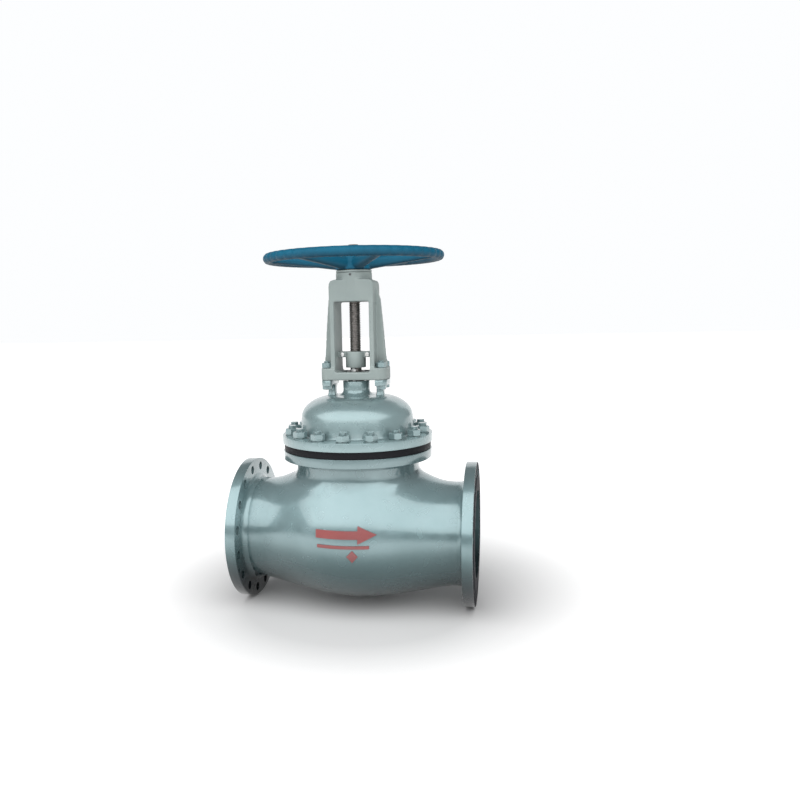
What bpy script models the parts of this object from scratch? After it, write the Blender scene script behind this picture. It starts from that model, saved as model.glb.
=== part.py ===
"""Flanged globe valve, nominal bore 400 mm, pressure class PN40.

Bolted bonnet, outside screw and yoke, rising stem that doesn't turn, and a handwheel
that turns a threaded sleeve (the stem nut) in the top of the yoke.

Frame: metres. The origin is where the flow axis meets the stem axis.
+X runs along the flow, from inlet to outlet. +Z runs up the stem. The valve is shut.
"""

import math

import bmesh
import bpy
from mathutils import Matrix

# ---------------------------------------------------------------- driving dimensions

GAP = 0.0003                    # clearance between pieces that touch

BORE_R = 0.200
FACE_TO_FACE = 1.100
PIPE_FLANGE_R = 0.330
PIPE_FLANGE_T = 0.050
RAISED_FACE_R = 0.2675
RAISED_FACE_T = 0.003
PIPE_BOLT_CIRCLE_R = 0.2925
PIPE_BOLT_HOLE_R = 0.0195
PIPE_BOLTS = 16

BODY_END_R = 0.2375             # outside of the casting beside the pipe flanges
BULGE_HALF = 0.450              # the bulge runs from -BULGE_HALF to +BULGE_HALF
BELLY_HALF_WIDTH = 0.378        # the seat chamber's reach across the flow,
BELLY_UP = 0.403                # upwards, where the neck stands on it,
BELLY_DOWN = 0.297              # and downwards
WALL_T = 0.030
BRIDGE_T = 0.032                # S-shaped wall between inlet and outlet chambers

NECK_R = 0.283
NECK_BORE_R = 0.250
BODY_RING_LOW_Z = 0.357
BODY_RING_TOP_Z = 0.397
BODY_RING_R = 0.342
GASKET_T = 0.032
GASKET_R = 0.338

BONNET_LOW_Z = BODY_RING_TOP_Z + GASKET_T
BONNET_FLANGE_T = 0.038
BONNET_FLANGE_R = 0.345
BONNET_FLANGE_TOP_Z = BONNET_LOW_Z + BONNET_FLANGE_T
BONNET_BOLTS = 16
BONNET_BOLT_CIRCLE_R = 0.302
BONNET_STUD_R = 0.018
BONNET_STUD_HOLE_R = 0.020
BONNET_NUT_FLAT_R = 0.0275
BONNET_NUT_H = 0.031
BONNET_STUD_DEPTH = 0.034       # thread engaged in the body's flange
DOME_TOP_Z = 0.640

STEM_R = 0.0255
LIFT = 0.110

COLUMN_R = 0.061                # stuffing box
COLUMN_TOP_Z = 0.705
PACKING_R = 0.038
PACKING_LOW_Z = 0.600
PACKING_RING_H = 0.018
PACKING_RINGS = 4
BACKSEAT_LOW_Z = 0.560
BACKSEAT_TOP_Z = 0.582
BACKSEAT_R = 0.042

GLAND_STUD_R = 0.007
GLAND_STUD_Y = 0.0495
GLAND_FLANGE_LOW_Z = 0.730
GLAND_FLANGE_TOP_Z = 0.748
GLAND_NUT_H = 0.012
GLAND_STUD_TOP_Z = 0.765

PLATE_LOW_Z = 0.712             # yoke foot plate
PLATE_TOP_Z = 0.766             # at its ends, under the nuts
PLATE_FLOOR_Z = 0.748           # between the legs
PLATE_HALF_X = 0.151
PLATE_HALF_Y = 0.085
PLATE_CORNER_R = 0.042
PAD_INNER_X = 0.101             # the two pads on the bonnet that carry the yoke
PAD_LOW_Z = 0.686
YOKE_BOLT_X = 0.125
YOKE_BOLT_Y = 0.047
YOKE_BOLT_R = 0.0135
YOKE_NUT_FLAT_R = 0.0205
YOKE_NUT_H = 0.024
YOKE_HEAD_H = 0.017

WINDOW_HALF = 0.079
WINDOW_TOP_Z = 1.060
LEG_HALF_Y = 0.079
LEG_T = 0.0205
WEB_HALF_Y = 0.013
BOSS_R = 0.081
BOSS_TOP_Z = 1.189
BEARING_R = 0.066
BEARING_LOW_Z = 1.086
BEARING_H = 0.022
SLEEVE_FLANGE_H = 0.026
SLEEVE_R = 0.040
COVER_TOP_Z = 1.199
SCREW_Z = 1.1785                # set screw through the boss

WHEEL_R = 0.404
WHEEL_RIM_R = 0.018             # half the rim's thickness, radially
WHEEL_RIM_HALF_H = 0.020
WHEEL_RIM_Z = 1.2555
WHEEL_SPOKES = 6
HUB_LOW_Z = 1.2015
HUB_TOP_Z = 1.274
HUB_R = 0.072
KEY_W = 0.012
KEY_H = 0.006
WHEEL_NUT_H = 0.026
STEM_TOP_Z = 1.312

SEAT_R = 0.190
SEAT_OUTER_R = 0.2145
SEAT_TOP_Z = 0.030
DISC_R = 0.208
DISC_T = 0.040
DISC_HUB_R = 0.064
DISC_HUB_TOP_Z = 0.143

GUIDE_LOW_Z = 0.766
GUIDE_ARM_LOW_Z = 0.812
GUIDE_TOP_Z = 0.838
GUIDE_HUB_R = 0.046
GUIDE_ARM_HALF_Y = 0.020
GUIDE_BOLT_X = 0.058
GUIDE_BOLT_R = 0.006

FINE = 34                       # sides of the large turned shapes
MEDIUM = 16
HEXES = 24                      # sides of turned pieces with a hexagon on them
COARSE = 12                     # sides of bolts
HOLE = 8                        # sides of clearance holes

# ---------------------------------------------------------------- colours

PAINT = ("body_paint", (0.30, 0.39, 0.40), 0.30, 0.25)
BLUE = ("wheel_paint", (0.010, 0.190, 0.320), 0.35, 0.0)
BLACK = ("gasket_black", (0.016, 0.016, 0.019), 0.55, 0.0)
STEEL = ("turned_steel", (0.42, 0.42, 0.43), 0.35, 1.0)
DARK_STEEL = ("oiled_steel", (0.16, 0.16, 0.17), 0.42, 1.0)
STAINLESS = ("stainless", (0.62, 0.61, 0.59), 0.25, 1.0)
BRONZE = ("bronze", (0.55, 0.36, 0.16), 0.35, 1.0)
GRAPHITE = ("graphite_packing", (0.06, 0.06, 0.065), 0.65, 0.0)
ZINC = ("zinc_plated", (0.55, 0.56, 0.56), 0.35, 1.0)


def finish_material(finish):
    """The shared Principled material for one finish."""
    name, colour, roughness, metallic = finish
    material = bpy.data.materials.get(name)
    if material is None:
        material = bpy.data.materials.new(name)
        material.use_nodes = True
        shader = material.node_tree.nodes["Principled BSDF"]
        shader.inputs["Base Color"].default_value = (*colour, 1.0)
        shader.inputs["Roughness"].default_value = roughness
        shader.inputs["Metallic"].default_value = metallic
        material.diffuse_color = (*colour, 1.0)
    return material


# ---------------------------------------------------------------- shape helpers

ROUND = "round"
HEX = "hex"


def ring_radius(radius, angle, shape):
    """A hexagonal ring's radius is half its width across flats."""
    if shape == ROUND:
        return radius
    from_flat = (angle + math.pi / 6) % (math.pi / 3) - math.pi / 6
    return radius / math.cos(from_flat)


def lathe(profile, sides):
    """Turn (radius, height[, shape]) points about Z. A profile that starts and ends off
    the axis closes on itself, as a ring."""
    shape = bmesh.new()
    rings = []
    for point in profile:
        radius, height = point[0], point[1]
        kind = point[2] if len(point) > 2 else ROUND
        if radius == 0:
            rings.append([shape.verts.new((0, 0, height))])
            continue
        ring = []
        for i in range(sides):
            angle = 2 * math.pi * i / sides
            r = ring_radius(radius, angle, kind)
            ring.append(shape.verts.new((r * math.cos(angle), r * math.sin(angle), height)))
        rings.append(ring)
    pairs = list(zip(rings, rings[1:]))
    if len(rings[0]) > 1 and len(rings[-1]) > 1:
        pairs.append((rings[-1], rings[0]))
    for first, second in pairs:
        for i in range(sides):
            j = (i + 1) % sides
            corners = [first[i % len(first)], first[j % len(first)],
                       second[j % len(second)], second[i % len(second)]]
            shape.faces.new(list(dict.fromkeys(corners)))
    bmesh.ops.recalc_face_normals(shape, faces=shape.faces)
    return shape


def prism(outline, low, high):
    """A flat outline of (x, y) points, raised from low to high along Z."""
    shape = bmesh.new()
    base = [shape.verts.new((x, y, low)) for x, y in outline]
    face = shape.faces.new(base)
    raised = bmesh.ops.extrude_face_region(shape, geom=[face])
    tops = [v for v in raised["geom"] if isinstance(v, bmesh.types.BMVert)]
    bmesh.ops.translate(shape, verts=tops, vec=(0, 0, high - low))
    bmesh.ops.recalc_face_normals(shape, faces=shape.faces)
    return shape


def box(low, high):
    outline = [(low[0], low[1]), (high[0], low[1]), (high[0], high[1]), (low[0], high[1])]
    return prism(outline, low[2], high[2])


def rounded_rectangle(half_x, half_y, corner, steps=4):
    points = []
    centres = ((1, 1, 0), (-1, 1, 90), (-1, -1, 180), (1, -1, 270))
    for side_x, side_y, start in centres:
        for i in range(steps + 1):
            angle = math.radians(start + 90 * i / steps)
            x = side_x * (half_x - corner) + corner * math.cos(angle)
            y = side_y * (half_y - corner) + corner * math.sin(angle)
            points.append((x, y))
    return points


def bar(radius, low, high, sides=MEDIUM):
    return lathe([(0, low), (radius, low), (radius, high), (0, high)], sides)


def tube(outer, inner, low, high, sides=MEDIUM):
    return lathe([(inner, low), (outer, low), (outer, high), (inner, high)], sides)


def moved(shape, matrix):
    bmesh.ops.transform(shape, matrix=matrix, verts=shape.verts)
    return shape


def merged(shapes):
    """Several loose shapes in one mesh, for use as one cutter."""
    total = bmesh.new()
    for shape in shapes:
        mesh = bpy.data.meshes.new("loose")
        shape.to_mesh(mesh)
        shape.free()
        total.from_mesh(mesh)
        bpy.data.meshes.remove(mesh)
    return total


def along_x():
    return Matrix.Rotation(math.pi / 2, 4, "Y")


def along_y():
    return Matrix.Rotation(-math.pi / 2, 4, "X")


def shift(x, y, z):
    return Matrix.Translation((x, y, z))


def turned(angle):
    return Matrix.Rotation(angle, 4, "Z")


def bolt_circle(count, radius, first=0.0):
    """A matrix for each place on a bolt circle about Z."""
    places = []
    for i in range(count):
        angle = first + 2 * math.pi * i / count
        places.append(turned(angle) @ shift(radius, 0, 0))
    return places


def mesh_of(name, shape, sharp=38):
    mesh = bpy.data.meshes.new(name)
    shape.to_mesh(mesh)
    shape.free()
    mesh.shade_smooth()
    mesh.set_sharp_from_angle(angle=math.radians(sharp))
    return mesh


def piece(name, shape, finish, parent=None):
    """One sub-part of the valve, from a bmesh or from a mesh that copies share."""
    mesh = shape if isinstance(shape, bpy.types.Mesh) else mesh_of(name, shape)
    thing = bpy.data.objects.new(name, mesh)
    bpy.context.scene.collection.objects.link(thing)
    if not mesh.materials:
        mesh.materials.append(finish_material(finish))
    thing.parent = parent
    return thing


def combine(thing, shape, operation):
    """Unite a helper shape with a piece, or cut it away."""
    name = f"{thing.name}_{operation.lower()}_{len(thing.modifiers)}"
    helper = bpy.data.objects.new(name, mesh_of(name, shape))
    bpy.context.scene.collection.objects.link(helper)
    helper.hide_render = True
    helper.display_type = "WIRE"
    step = thing.modifiers.new(name, "BOOLEAN")
    step.operation = operation
    step.object = helper
    step.solver = "EXACT"
    return helper


def joint_axis(name):
    """An empty on the stem axis that carries the pieces of one moving body."""
    empty = bpy.data.objects.new(name, None)
    empty.empty_display_size = 0.1
    bpy.context.scene.collection.objects.link(empty)
    return empty


# ---------------------------------------------------------------- body and seat


def bulge(reach, power, x):
    share = max(0.0, 1 - (x / BULGE_HALF) ** 2) ** power
    return BODY_END_R + (reach - BODY_END_R) * share


def chamber_sections(steps, wall):
    """Sections (x, half_width, up, down) of the bulge, drawn in by a wall thickness."""
    sections = []
    for i in range(2 * steps + 1):
        x = BULGE_HALF * (1 - i / steps)
        reaches = (bulge(BELLY_HALF_WIDTH, 2.0, x), bulge(BELLY_UP, 2.3, x),
                   bulge(BELLY_DOWN, 1.35, x))
        smallest = BORE_R if wall else 0
        sections.append((x, *[max(smallest, reach - wall) for reach in reaches]))
    return sections


def loft(sections, sides):
    """Skin sections along X. Each has its own half width, and reaches up and down."""
    shape = bmesh.new()
    rings = []
    for x, half_width, up, down in sections:
        ring = []
        for i in range(sides):
            angle = 2 * math.pi * i / sides
            rise = math.sin(angle)
            z = rise * (up if rise > 0 else down)
            ring.append(shape.verts.new((x, half_width * math.cos(angle), z)))
        rings.append(ring)
    for first, second in zip(rings, rings[1:]):
        for i in range(sides):
            j = (i + 1) % sides
            shape.faces.new((first[i], first[j], second[j], second[i]))
    shape.faces.new(rings[0])
    shape.faces.new(rings[-1])
    bmesh.ops.recalc_face_normals(shape, faces=shape.faces)
    return shape


def with_ends(middle, end):
    """The middle sections between two mirrored runs of round (x, radius) sections."""
    first = [(x, r, r, r) for x, r in end]
    last = [(-x, r, r, r) for x, r in reversed(end)]
    return first + middle + last


def body_outside():
    """The casting along the flow axis, with its two pipe flanges."""
    face = FACE_TO_FACE / 2
    back = face - PIPE_FLANGE_T
    end = [(face, RAISED_FACE_R), (face - RAISED_FACE_T, RAISED_FACE_R),
           (face - RAISED_FACE_T, PIPE_FLANGE_R), (back, PIPE_FLANGE_R),
           (back, BODY_END_R + 0.018), (back - 0.007, BODY_END_R + 0.006),
           (back - 0.022, BODY_END_R)]
    return loft(with_ends(chamber_sections(6, 0), end), FINE)


def body_hollow():
    """The chamber between the two bores, before the bridge is left standing in it."""
    end = [(FACE_TO_FACE / 2 + 0.01, BORE_R)]
    return loft(with_ends(chamber_sections(5, WALL_T), end), FINE)


def bridge():
    """The S-shaped wall: down from the inlet's roof, flat at the seat, down to the
    outlet's floor."""
    slope_x, seat_x, reach = 0.345, 0.250, 0.300
    half_t = BRIDGE_T / 2
    lean = half_t * math.hypot(slope_x - seat_x, reach) / reach
    corner = half_t * (slope_x - seat_x) / reach
    upper = [(-slope_x + lean, reach), (-seat_x + lean - corner, half_t),
             (seat_x + lean - corner, half_t), (slope_x + lean, -reach)]
    lower = [(slope_x - lean, -reach), (seat_x - lean + corner, -half_t),
             (-seat_x - lean + corner, -half_t), (-slope_x - lean, reach)]
    return upright(upper + lower, BELLY_HALF_WIDTH + 0.05)


def make_valve_body():
    body = piece("valve_body", body_outside(), PAINT)
    neck = [(0, 0.15), (NECK_R, 0.15), (NECK_R, BODY_RING_LOW_Z - 0.014),
            (NECK_R + 0.014, BODY_RING_LOW_Z), (BODY_RING_R, BODY_RING_LOW_Z),
            (BODY_RING_R, BODY_RING_TOP_Z), (0, BODY_RING_TOP_Z)]
    combine(body, lathe(neck, FINE), "UNION")
    hollow = combine(body, body_hollow(), "DIFFERENCE")
    combine(hollow, bar(NECK_BORE_R, 0, BODY_RING_TOP_Z + 0.01, FINE), "UNION")
    combine(hollow, bridge(), "DIFFERENCE")
    combine(body, bar(SEAT_OUTER_R + GAP, -0.05, 0.05, FINE), "DIFFERENCE")

    half_step = math.pi / PIPE_BOLTS
    places = bolt_circle(PIPE_BOLTS, PIPE_BOLT_CIRCLE_R, half_step)
    for side in (-1, 1):
        middle = side * (FACE_TO_FACE - PIPE_FLANGE_T) / 2
        holes = []
        for place in places:
            short = bar(PIPE_BOLT_HOLE_R, -PIPE_FLANGE_T, PIPE_FLANGE_T, HOLE)
            holes.append(moved(short, along_x() @ shift(0, 0, middle) @ place))
        combine(body, merged(holes), "DIFFERENCE")

    low = BODY_RING_TOP_Z - BONNET_STUD_DEPTH - GAP
    combine(body, stud_holes(low, BODY_RING_TOP_Z + 0.01), "DIFFERENCE")


def make_seat_ring():
    lip_low = BRIDGE_T / 2 + GAP
    profile = [(SEAT_R, -0.026), (SEAT_OUTER_R, -0.026), (SEAT_OUTER_R, lip_low),
               (SEAT_OUTER_R + 0.013, lip_low), (SEAT_OUTER_R + 0.013, SEAT_TOP_Z - 0.004),
               (SEAT_OUTER_R + 0.009, SEAT_TOP_Z), (SEAT_R + 0.004, SEAT_TOP_Z),
               (SEAT_R, SEAT_TOP_Z - 0.004)]
    return piece("seat_ring", lathe(profile, FINE), STAINLESS)


# ---------------------------------------------------------------- bonnet and its joint


def stud_holes(low, high):
    return merged([moved(bar(BONNET_STUD_HOLE_R, low, high, HOLE), place)
                   for place in bolt_circle(BONNET_BOLTS, BONNET_BOLT_CIRCLE_R)])


def bonnet_profile():
    """Outside from the flange up over the dome to the stuffing box, then down inside."""
    dome_low_z, dome_r, inner_r = 0.540, 0.257, 0.228
    outside = [(BONNET_FLANGE_R, BONNET_LOW_Z), (BONNET_FLANGE_R, BONNET_FLANGE_TOP_Z - 0.003),
               (BONNET_FLANGE_R - 0.003, BONNET_FLANGE_TOP_Z), (0.272, BONNET_FLANGE_TOP_Z),
               (0.263, BONNET_FLANGE_TOP_Z + 0.010), (0.2615, 0.515), (dome_r, dome_low_z)]
    shoulder, rise = 0.152, DOME_TOP_Z - dome_low_z
    steps = 5
    for i in range(1, steps + 1):
        angle = 0.5 * math.pi * i / steps
        outside.append((dome_r - shoulder * (1 - math.cos(angle)),
                        dome_low_z + rise * math.sin(angle)))
    outside += [(COLUMN_R + 0.012, DOME_TOP_Z + 0.004), (COLUMN_R, DOME_TOP_Z + 0.014),
                (COLUMN_R, COLUMN_TOP_Z), (PACKING_R, COLUMN_TOP_Z),
                (PACKING_R, PACKING_LOW_Z), (STEM_R + 0.002, PACKING_LOW_Z),
                (STEM_R + 0.002, BACKSEAT_TOP_Z + GAP), (BACKSEAT_R + GAP, BACKSEAT_TOP_Z + GAP),
                (BACKSEAT_R + GAP, BACKSEAT_LOW_Z - 0.002), (COLUMN_R, BACKSEAT_LOW_Z - 0.002),
                (COLUMN_R, 0.606)]
    steps = 3
    inside_low_z = 0.530
    for i in range(steps, -1, -1):
        angle = 0.5 * math.pi * i / steps
        outside.append((inner_r - 0.150 * (1 - math.cos(angle)),
                        inside_low_z + 0.078 * math.sin(angle)))
    outside += [(0.232, BONNET_LOW_Z)]
    return outside


def pad_outline(side):
    """The outer end of the yoke's foot plate, which each bonnet pad repeats."""
    corners = rounded_rectangle(PLATE_HALF_X, PLATE_HALF_Y, PLATE_CORNER_R)
    outer = [(x, y) for x, y in corners if x > PAD_INNER_X]
    inner = [(PAD_INNER_X, -PLATE_HALF_Y), (PAD_INNER_X, PLATE_HALF_Y)]
    split = [p for p in outer if p[1] < 0]
    rest = [p for p in outer if p[1] > 0]
    outline = [inner[0]] + split + rest + [inner[1]]
    return [(side * x, y) for x, y in outline]


def make_bonnet():
    bonnet = piece("bonnet", lathe(bonnet_profile(), FINE), PAINT)
    for side in (-1, 1):
        pad = prism(pad_outline(side), PAD_LOW_Z, PLATE_LOW_Z - GAP)
        pillar = box((0.096, -0.022, DOME_TOP_Z - 0.012), (0.129, 0.022, PAD_LOW_Z + 0.010))
        if side < 0:
            moved(pillar, turned(math.pi))
        combine(bonnet, pillar, "UNION")
        combine(bonnet, pad, "UNION")
    bolt_holes = []
    for x, y in yoke_bolt_places():
        hole = bar(YOKE_BOLT_R + GAP, PAD_LOW_Z - 0.01, PLATE_LOW_Z + 0.01, COARSE)
        bolt_holes.append(moved(hole, shift(x, y, 0)))
    for y in (-GLAND_STUD_Y, GLAND_STUD_Y):
        hole = bar(GLAND_STUD_R + GAP, COLUMN_TOP_Z - 0.0303, COLUMN_TOP_Z + 0.01, COARSE)
        bolt_holes.append(moved(hole, shift(0, y, 0)))
    combine(bonnet, merged(bolt_holes), "DIFFERENCE")
    combine(bonnet, stud_holes(BONNET_LOW_Z - 0.01, BONNET_FLANGE_TOP_Z + 0.01), "DIFFERENCE")


def make_bonnet_gasket():
    low, high = BODY_RING_TOP_Z + GAP, BONNET_LOW_Z - GAP
    ring = piece("bonnet_gasket", tube(GASKET_R, NECK_BORE_R, low, high, FINE), BLACK)
    combine(ring, stud_holes(low - 0.01, high + 0.01), "DIFFERENCE")


def make_bonnet_studs():
    """Each stud is screwed into the body's flange and has its nut run down on it."""
    low = BODY_RING_TOP_Z - BONNET_STUD_DEPTH
    nut_low = BONNET_FLANGE_TOP_Z + GAP
    nut_top = nut_low + BONNET_NUT_H
    top = nut_top + 0.013
    profile = [(0, low), (BONNET_STUD_R, low), (BONNET_STUD_R, nut_low),
               (BONNET_NUT_FLAT_R, nut_low, HEX), (BONNET_NUT_FLAT_R, nut_top, HEX),
               (BONNET_STUD_R, nut_top),
               (BONNET_STUD_R, top), (0, top)]
    mesh = mesh_of("bonnet_stud", lathe(profile, COARSE))
    for i, place in enumerate(bolt_circle(BONNET_BOLTS, BONNET_BOLT_CIRCLE_R)):
        stud = piece(f"bonnet_stud_{i + 1:02d}", mesh, PAINT)
        stud.matrix_world = place


# ---------------------------------------------------------------- stem seal


def make_stem_seal():
    profile = [(STEM_R + 0.001, BACKSEAT_LOW_Z + 0.006), (STEM_R + 0.008, BACKSEAT_LOW_Z),
               (BACKSEAT_R, BACKSEAT_LOW_Z), (BACKSEAT_R, BACKSEAT_TOP_Z),
               (STEM_R + 0.001, BACKSEAT_TOP_Z)]
    piece("backseat_ring", lathe(profile, MEDIUM), STAINLESS)

    low = PACKING_LOW_Z + GAP
    for i in range(PACKING_RINGS):
        ring = tube(PACKING_R - GAP, STEM_R + GAP, low, low + PACKING_RING_H)
        piece(f"packing_ring_{i + 1}", ring, GRAPHITE)
        low += PACKING_RING_H + GAP
    bush = tube(PACKING_R - GAP, STEM_R + 0.0006, low, GLAND_FLANGE_LOW_Z - GAP)
    piece("gland_bush", bush, DARK_STEEL)

    outline = []
    for i in range(MEDIUM):
        angle = 2 * math.pi * i / MEDIUM
        outline.append((0.041 * math.cos(angle), 0.062 * math.sin(angle)))
    follower = piece("gland_flange", prism(outline, GLAND_FLANGE_LOW_Z, GLAND_FLANGE_TOP_Z),
                     DARK_STEEL)
    holes = [bar(STEM_R + 0.003, 0.7, 0.8)]
    for y in (-GLAND_STUD_Y, GLAND_STUD_Y):
        holes.append(moved(bar(GLAND_STUD_R + 0.001, 0.7, 0.8, COARSE), shift(0, y, 0)))
    combine(follower, merged(holes), "DIFFERENCE")


def make_gland_fasteners():
    low = COLUMN_TOP_Z - 0.030
    nut_low = GLAND_FLANGE_TOP_Z + GAP
    for name, y in (("front", -GLAND_STUD_Y), ("back", GLAND_STUD_Y)):
        stud = bar(GLAND_STUD_R, low, GLAND_STUD_TOP_Z, COARSE)
        piece(f"gland_stud_{name}", moved(stud, shift(0, y, 0)), ZINC)
        nut = [(GLAND_STUD_R + GAP, nut_low), (0.011, nut_low, HEX),
               (0.011, nut_low + GLAND_NUT_H, HEX), (GLAND_STUD_R + GAP, nut_low + GLAND_NUT_H)]
        piece(f"gland_nut_{name}", moved(lathe(nut, COARSE), shift(0, y, 0)), ZINC)


# ---------------------------------------------------------------- yoke


def yoke_bolt_places():
    return [(x, y) for x in (-YOKE_BOLT_X, YOKE_BOLT_X) for y in (-YOKE_BOLT_Y, YOKE_BOLT_Y)]


def both_sides(right):
    """A symmetric (x, z) outline from its right half, listed from the bottom up."""
    return right + [(-x, z) for x, z in reversed(right)]


def web_outline():
    """Front view of both legs' webs."""
    return both_sides([(0.145, PLATE_TOP_Z - 0.020), (0.144, 0.790), (0.139, 0.830),
                       (0.136, 0.870), (0.129, 0.957), (0.119, 1.069), (0.100, 1.130)])


def head_outline():
    """Front view of the head that joins the legs round the bearing boss."""
    return both_sides([(0.101, WINDOW_TOP_Z - 0.006), (0.101, 1.125), (0.099, 1.142),
                       (0.093, 1.152), (0.076, 1.158)])


def upright(outline, half_y):
    """An (x, z) outline, as thick as 2 * half_y across the flow."""
    return moved(prism(outline, -half_y, half_y), along_y().inverted())


def make_yoke():
    yoke = piece("yoke", upright(web_outline(), WEB_HALF_Y), PAINT)
    outer = WINDOW_HALF + LEG_T
    legs = box((-outer, -LEG_HALF_Y, PLATE_TOP_Z - 0.005), (outer, LEG_HALF_Y, 1.120))
    combine(yoke, legs, "UNION")
    combine(yoke, upright(head_outline(), LEG_HALF_Y), "UNION")
    combine(yoke, bar(BOSS_R, WINDOW_TOP_Z - 0.010, BOSS_TOP_Z, FINE), "UNION")
    outline = rounded_rectangle(PLATE_HALF_X, PLATE_HALF_Y, PLATE_CORNER_R)
    combine(yoke, prism(outline, PLATE_LOW_Z, PLATE_TOP_Z), "UNION")
    window = box((-WINDOW_HALF, -0.2, PLATE_FLOOR_Z), (WINDOW_HALF, 0.2, WINDOW_TOP_Z))
    combine(yoke, window, "DIFFERENCE")

    cuts = [bar(0.065, PLATE_LOW_Z - 0.01, PLATE_TOP_Z + 0.01),
            lathe([(0, 1.05), (0.046, 1.05), (0.046, BEARING_LOW_Z),
                   (BEARING_R, BEARING_LOW_Z), (BEARING_R, BOSS_TOP_Z + 0.01),
                   (0, BOSS_TOP_Z + 0.01)], MEDIUM)]
    for x, y in yoke_bolt_places():
        hole = bar(YOKE_BOLT_R + GAP, PLATE_LOW_Z - 0.01, PLATE_TOP_Z + 0.01, COARSE)
        cuts.append(moved(hole, shift(x, y, 0)))
    combine(yoke, merged(cuts), "DIFFERENCE")
    screw_hole = moved(bar(0.0053, -0.09, -0.05, COARSE), shift(0, 0, SCREW_Z) @ along_y())
    combine(yoke, screw_hole, "DIFFERENCE")


def make_yoke_fasteners():
    head_top = PAD_LOW_Z - GAP
    nut_low = PLATE_TOP_Z + GAP
    top = nut_low + YOKE_NUT_H + 0.007
    bolt = [(0, head_top - YOKE_HEAD_H), (YOKE_NUT_FLAT_R - 0.002, head_top - YOKE_HEAD_H),
            (YOKE_NUT_FLAT_R, head_top - YOKE_HEAD_H + 0.002, HEX),
            (YOKE_NUT_FLAT_R, head_top, HEX), (YOKE_BOLT_R, head_top),
            (YOKE_BOLT_R, top), (0, top)]
    nut = [(YOKE_BOLT_R + GAP, nut_low), (YOKE_NUT_FLAT_R, nut_low, HEX),
           (YOKE_NUT_FLAT_R, nut_low + YOKE_NUT_H - 0.002, HEX),
           (YOKE_NUT_FLAT_R - 0.002, nut_low + YOKE_NUT_H),
           (YOKE_BOLT_R + GAP, nut_low + YOKE_NUT_H)]
    bolt_mesh = mesh_of("yoke_bolt", lathe(bolt, COARSE))
    nut_mesh = mesh_of("yoke_nut", lathe(nut, COARSE))
    for i, (x, y) in enumerate(yoke_bolt_places()):
        piece(f"yoke_bolt_{i + 1}", bolt_mesh, PAINT).location = (x, y, 0)
        piece(f"yoke_nut_{i + 1}", nut_mesh, PAINT).location = (x, y, 0)


def make_bearing_cover():
    spigot_low = BEARING_LOW_Z + 2 * BEARING_H + SLEEVE_FLANGE_H + 4 * GAP
    bore = SLEEVE_R + 0.003
    profile = [(bore, spigot_low), (BEARING_R - GAP, spigot_low),
               (BEARING_R - GAP, BOSS_TOP_Z + GAP), (BOSS_R - 0.001, BOSS_TOP_Z + GAP),
               (BOSS_R - 0.001, COVER_TOP_Z - 0.003), (BOSS_R - 0.004, COVER_TOP_Z),
               (bore, COVER_TOP_Z)]
    piece("bearing_cover", lathe(profile, MEDIUM), PAINT)
    screw = [(0, -BOSS_R - 0.002), (0.0045, -BOSS_R - 0.002), (0.005, -BOSS_R),
             (0.005, -BEARING_R - GAP), (0, -BEARING_R - GAP)]
    piece("cover_set_screw", moved(lathe(screw, COARSE), shift(0, 0, SCREW_Z) @ along_y()),
          DARK_STEEL)


def make_thrust_bearings():
    low = BEARING_LOW_Z + GAP
    for name in ("lower", "upper"):
        ring = tube(BEARING_R - GAP, SLEEVE_R + 0.006, low, low + BEARING_H)
        piece(f"thrust_bearing_{name}", ring, STAINLESS)
        low += BEARING_H + SLEEVE_FLANGE_H + 2 * GAP


# ---------------------------------------------------------------- handwheel body


def make_stem_nut(parent):
    flange_low = BEARING_LOW_Z + BEARING_H + 2 * GAP
    flange_top = flange_low + SLEEVE_FLANGE_H
    bore = (STEM_R + GAP) / math.cos(math.pi / MEDIUM)     # clears the stem as it turns
    profile = [(bore, WINDOW_TOP_Z + 0.004), (SLEEVE_R, WINDOW_TOP_Z + 0.004),
               (SLEEVE_R, flange_low), (BEARING_R - 0.004, flange_low),
               (BEARING_R - 0.004, flange_top), (SLEEVE_R, flange_top),
               (SLEEVE_R, HUB_TOP_Z - 0.002), (0.034, HUB_TOP_Z - 0.002),
               (0.034, HUB_TOP_Z + WHEEL_NUT_H - 0.001), (bore, HUB_TOP_Z + WHEEL_NUT_H - 0.001)]
    nut = piece("stem_nut", lathe(profile, MEDIUM), BRONZE, parent)
    half = KEY_W / 2 + GAP
    keyway = box((SLEEVE_R - KEY_H / 2 - GAP, -half, HUB_LOW_Z + 0.012),
                 (SLEEVE_R + 0.01, half, HUB_TOP_Z + 0.01))
    combine(nut, keyway, "DIFFERENCE")


def spoke(angle):
    """One dished spoke: a flat bar from the hub up to the rim, thickest at the hub."""
    reach = WHEEL_R - 2 * WHEEL_RIM_R + 0.006
    start = HUB_R - 0.012
    sections = [(start, 1.229, 0.030, 0.026), (0.120, 1.2345, 0.025, 0.025),
                (0.230, 1.244, 0.021, 0.019), (reach, WHEEL_RIM_Z, 0.020, 0.013)]
    shape = bmesh.new()
    rings = []
    for x, z, half_w, half_t in sections:
        outline = rounded_rectangle(half_w, half_t, half_t * 0.8, 1)
        rings.append([shape.verts.new((x, y, z + h)) for y, h in outline])
    for first, second in zip(rings, rings[1:]):
        for i in range(len(first)):
            j = (i + 1) % len(first)
            shape.faces.new((first[i], first[j], second[j], second[i]))
    shape.faces.new(rings[0])
    shape.faces.new(rings[-1])
    bmesh.ops.recalc_face_normals(shape, faces=shape.faces)
    return moved(shape, turned(angle))


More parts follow.
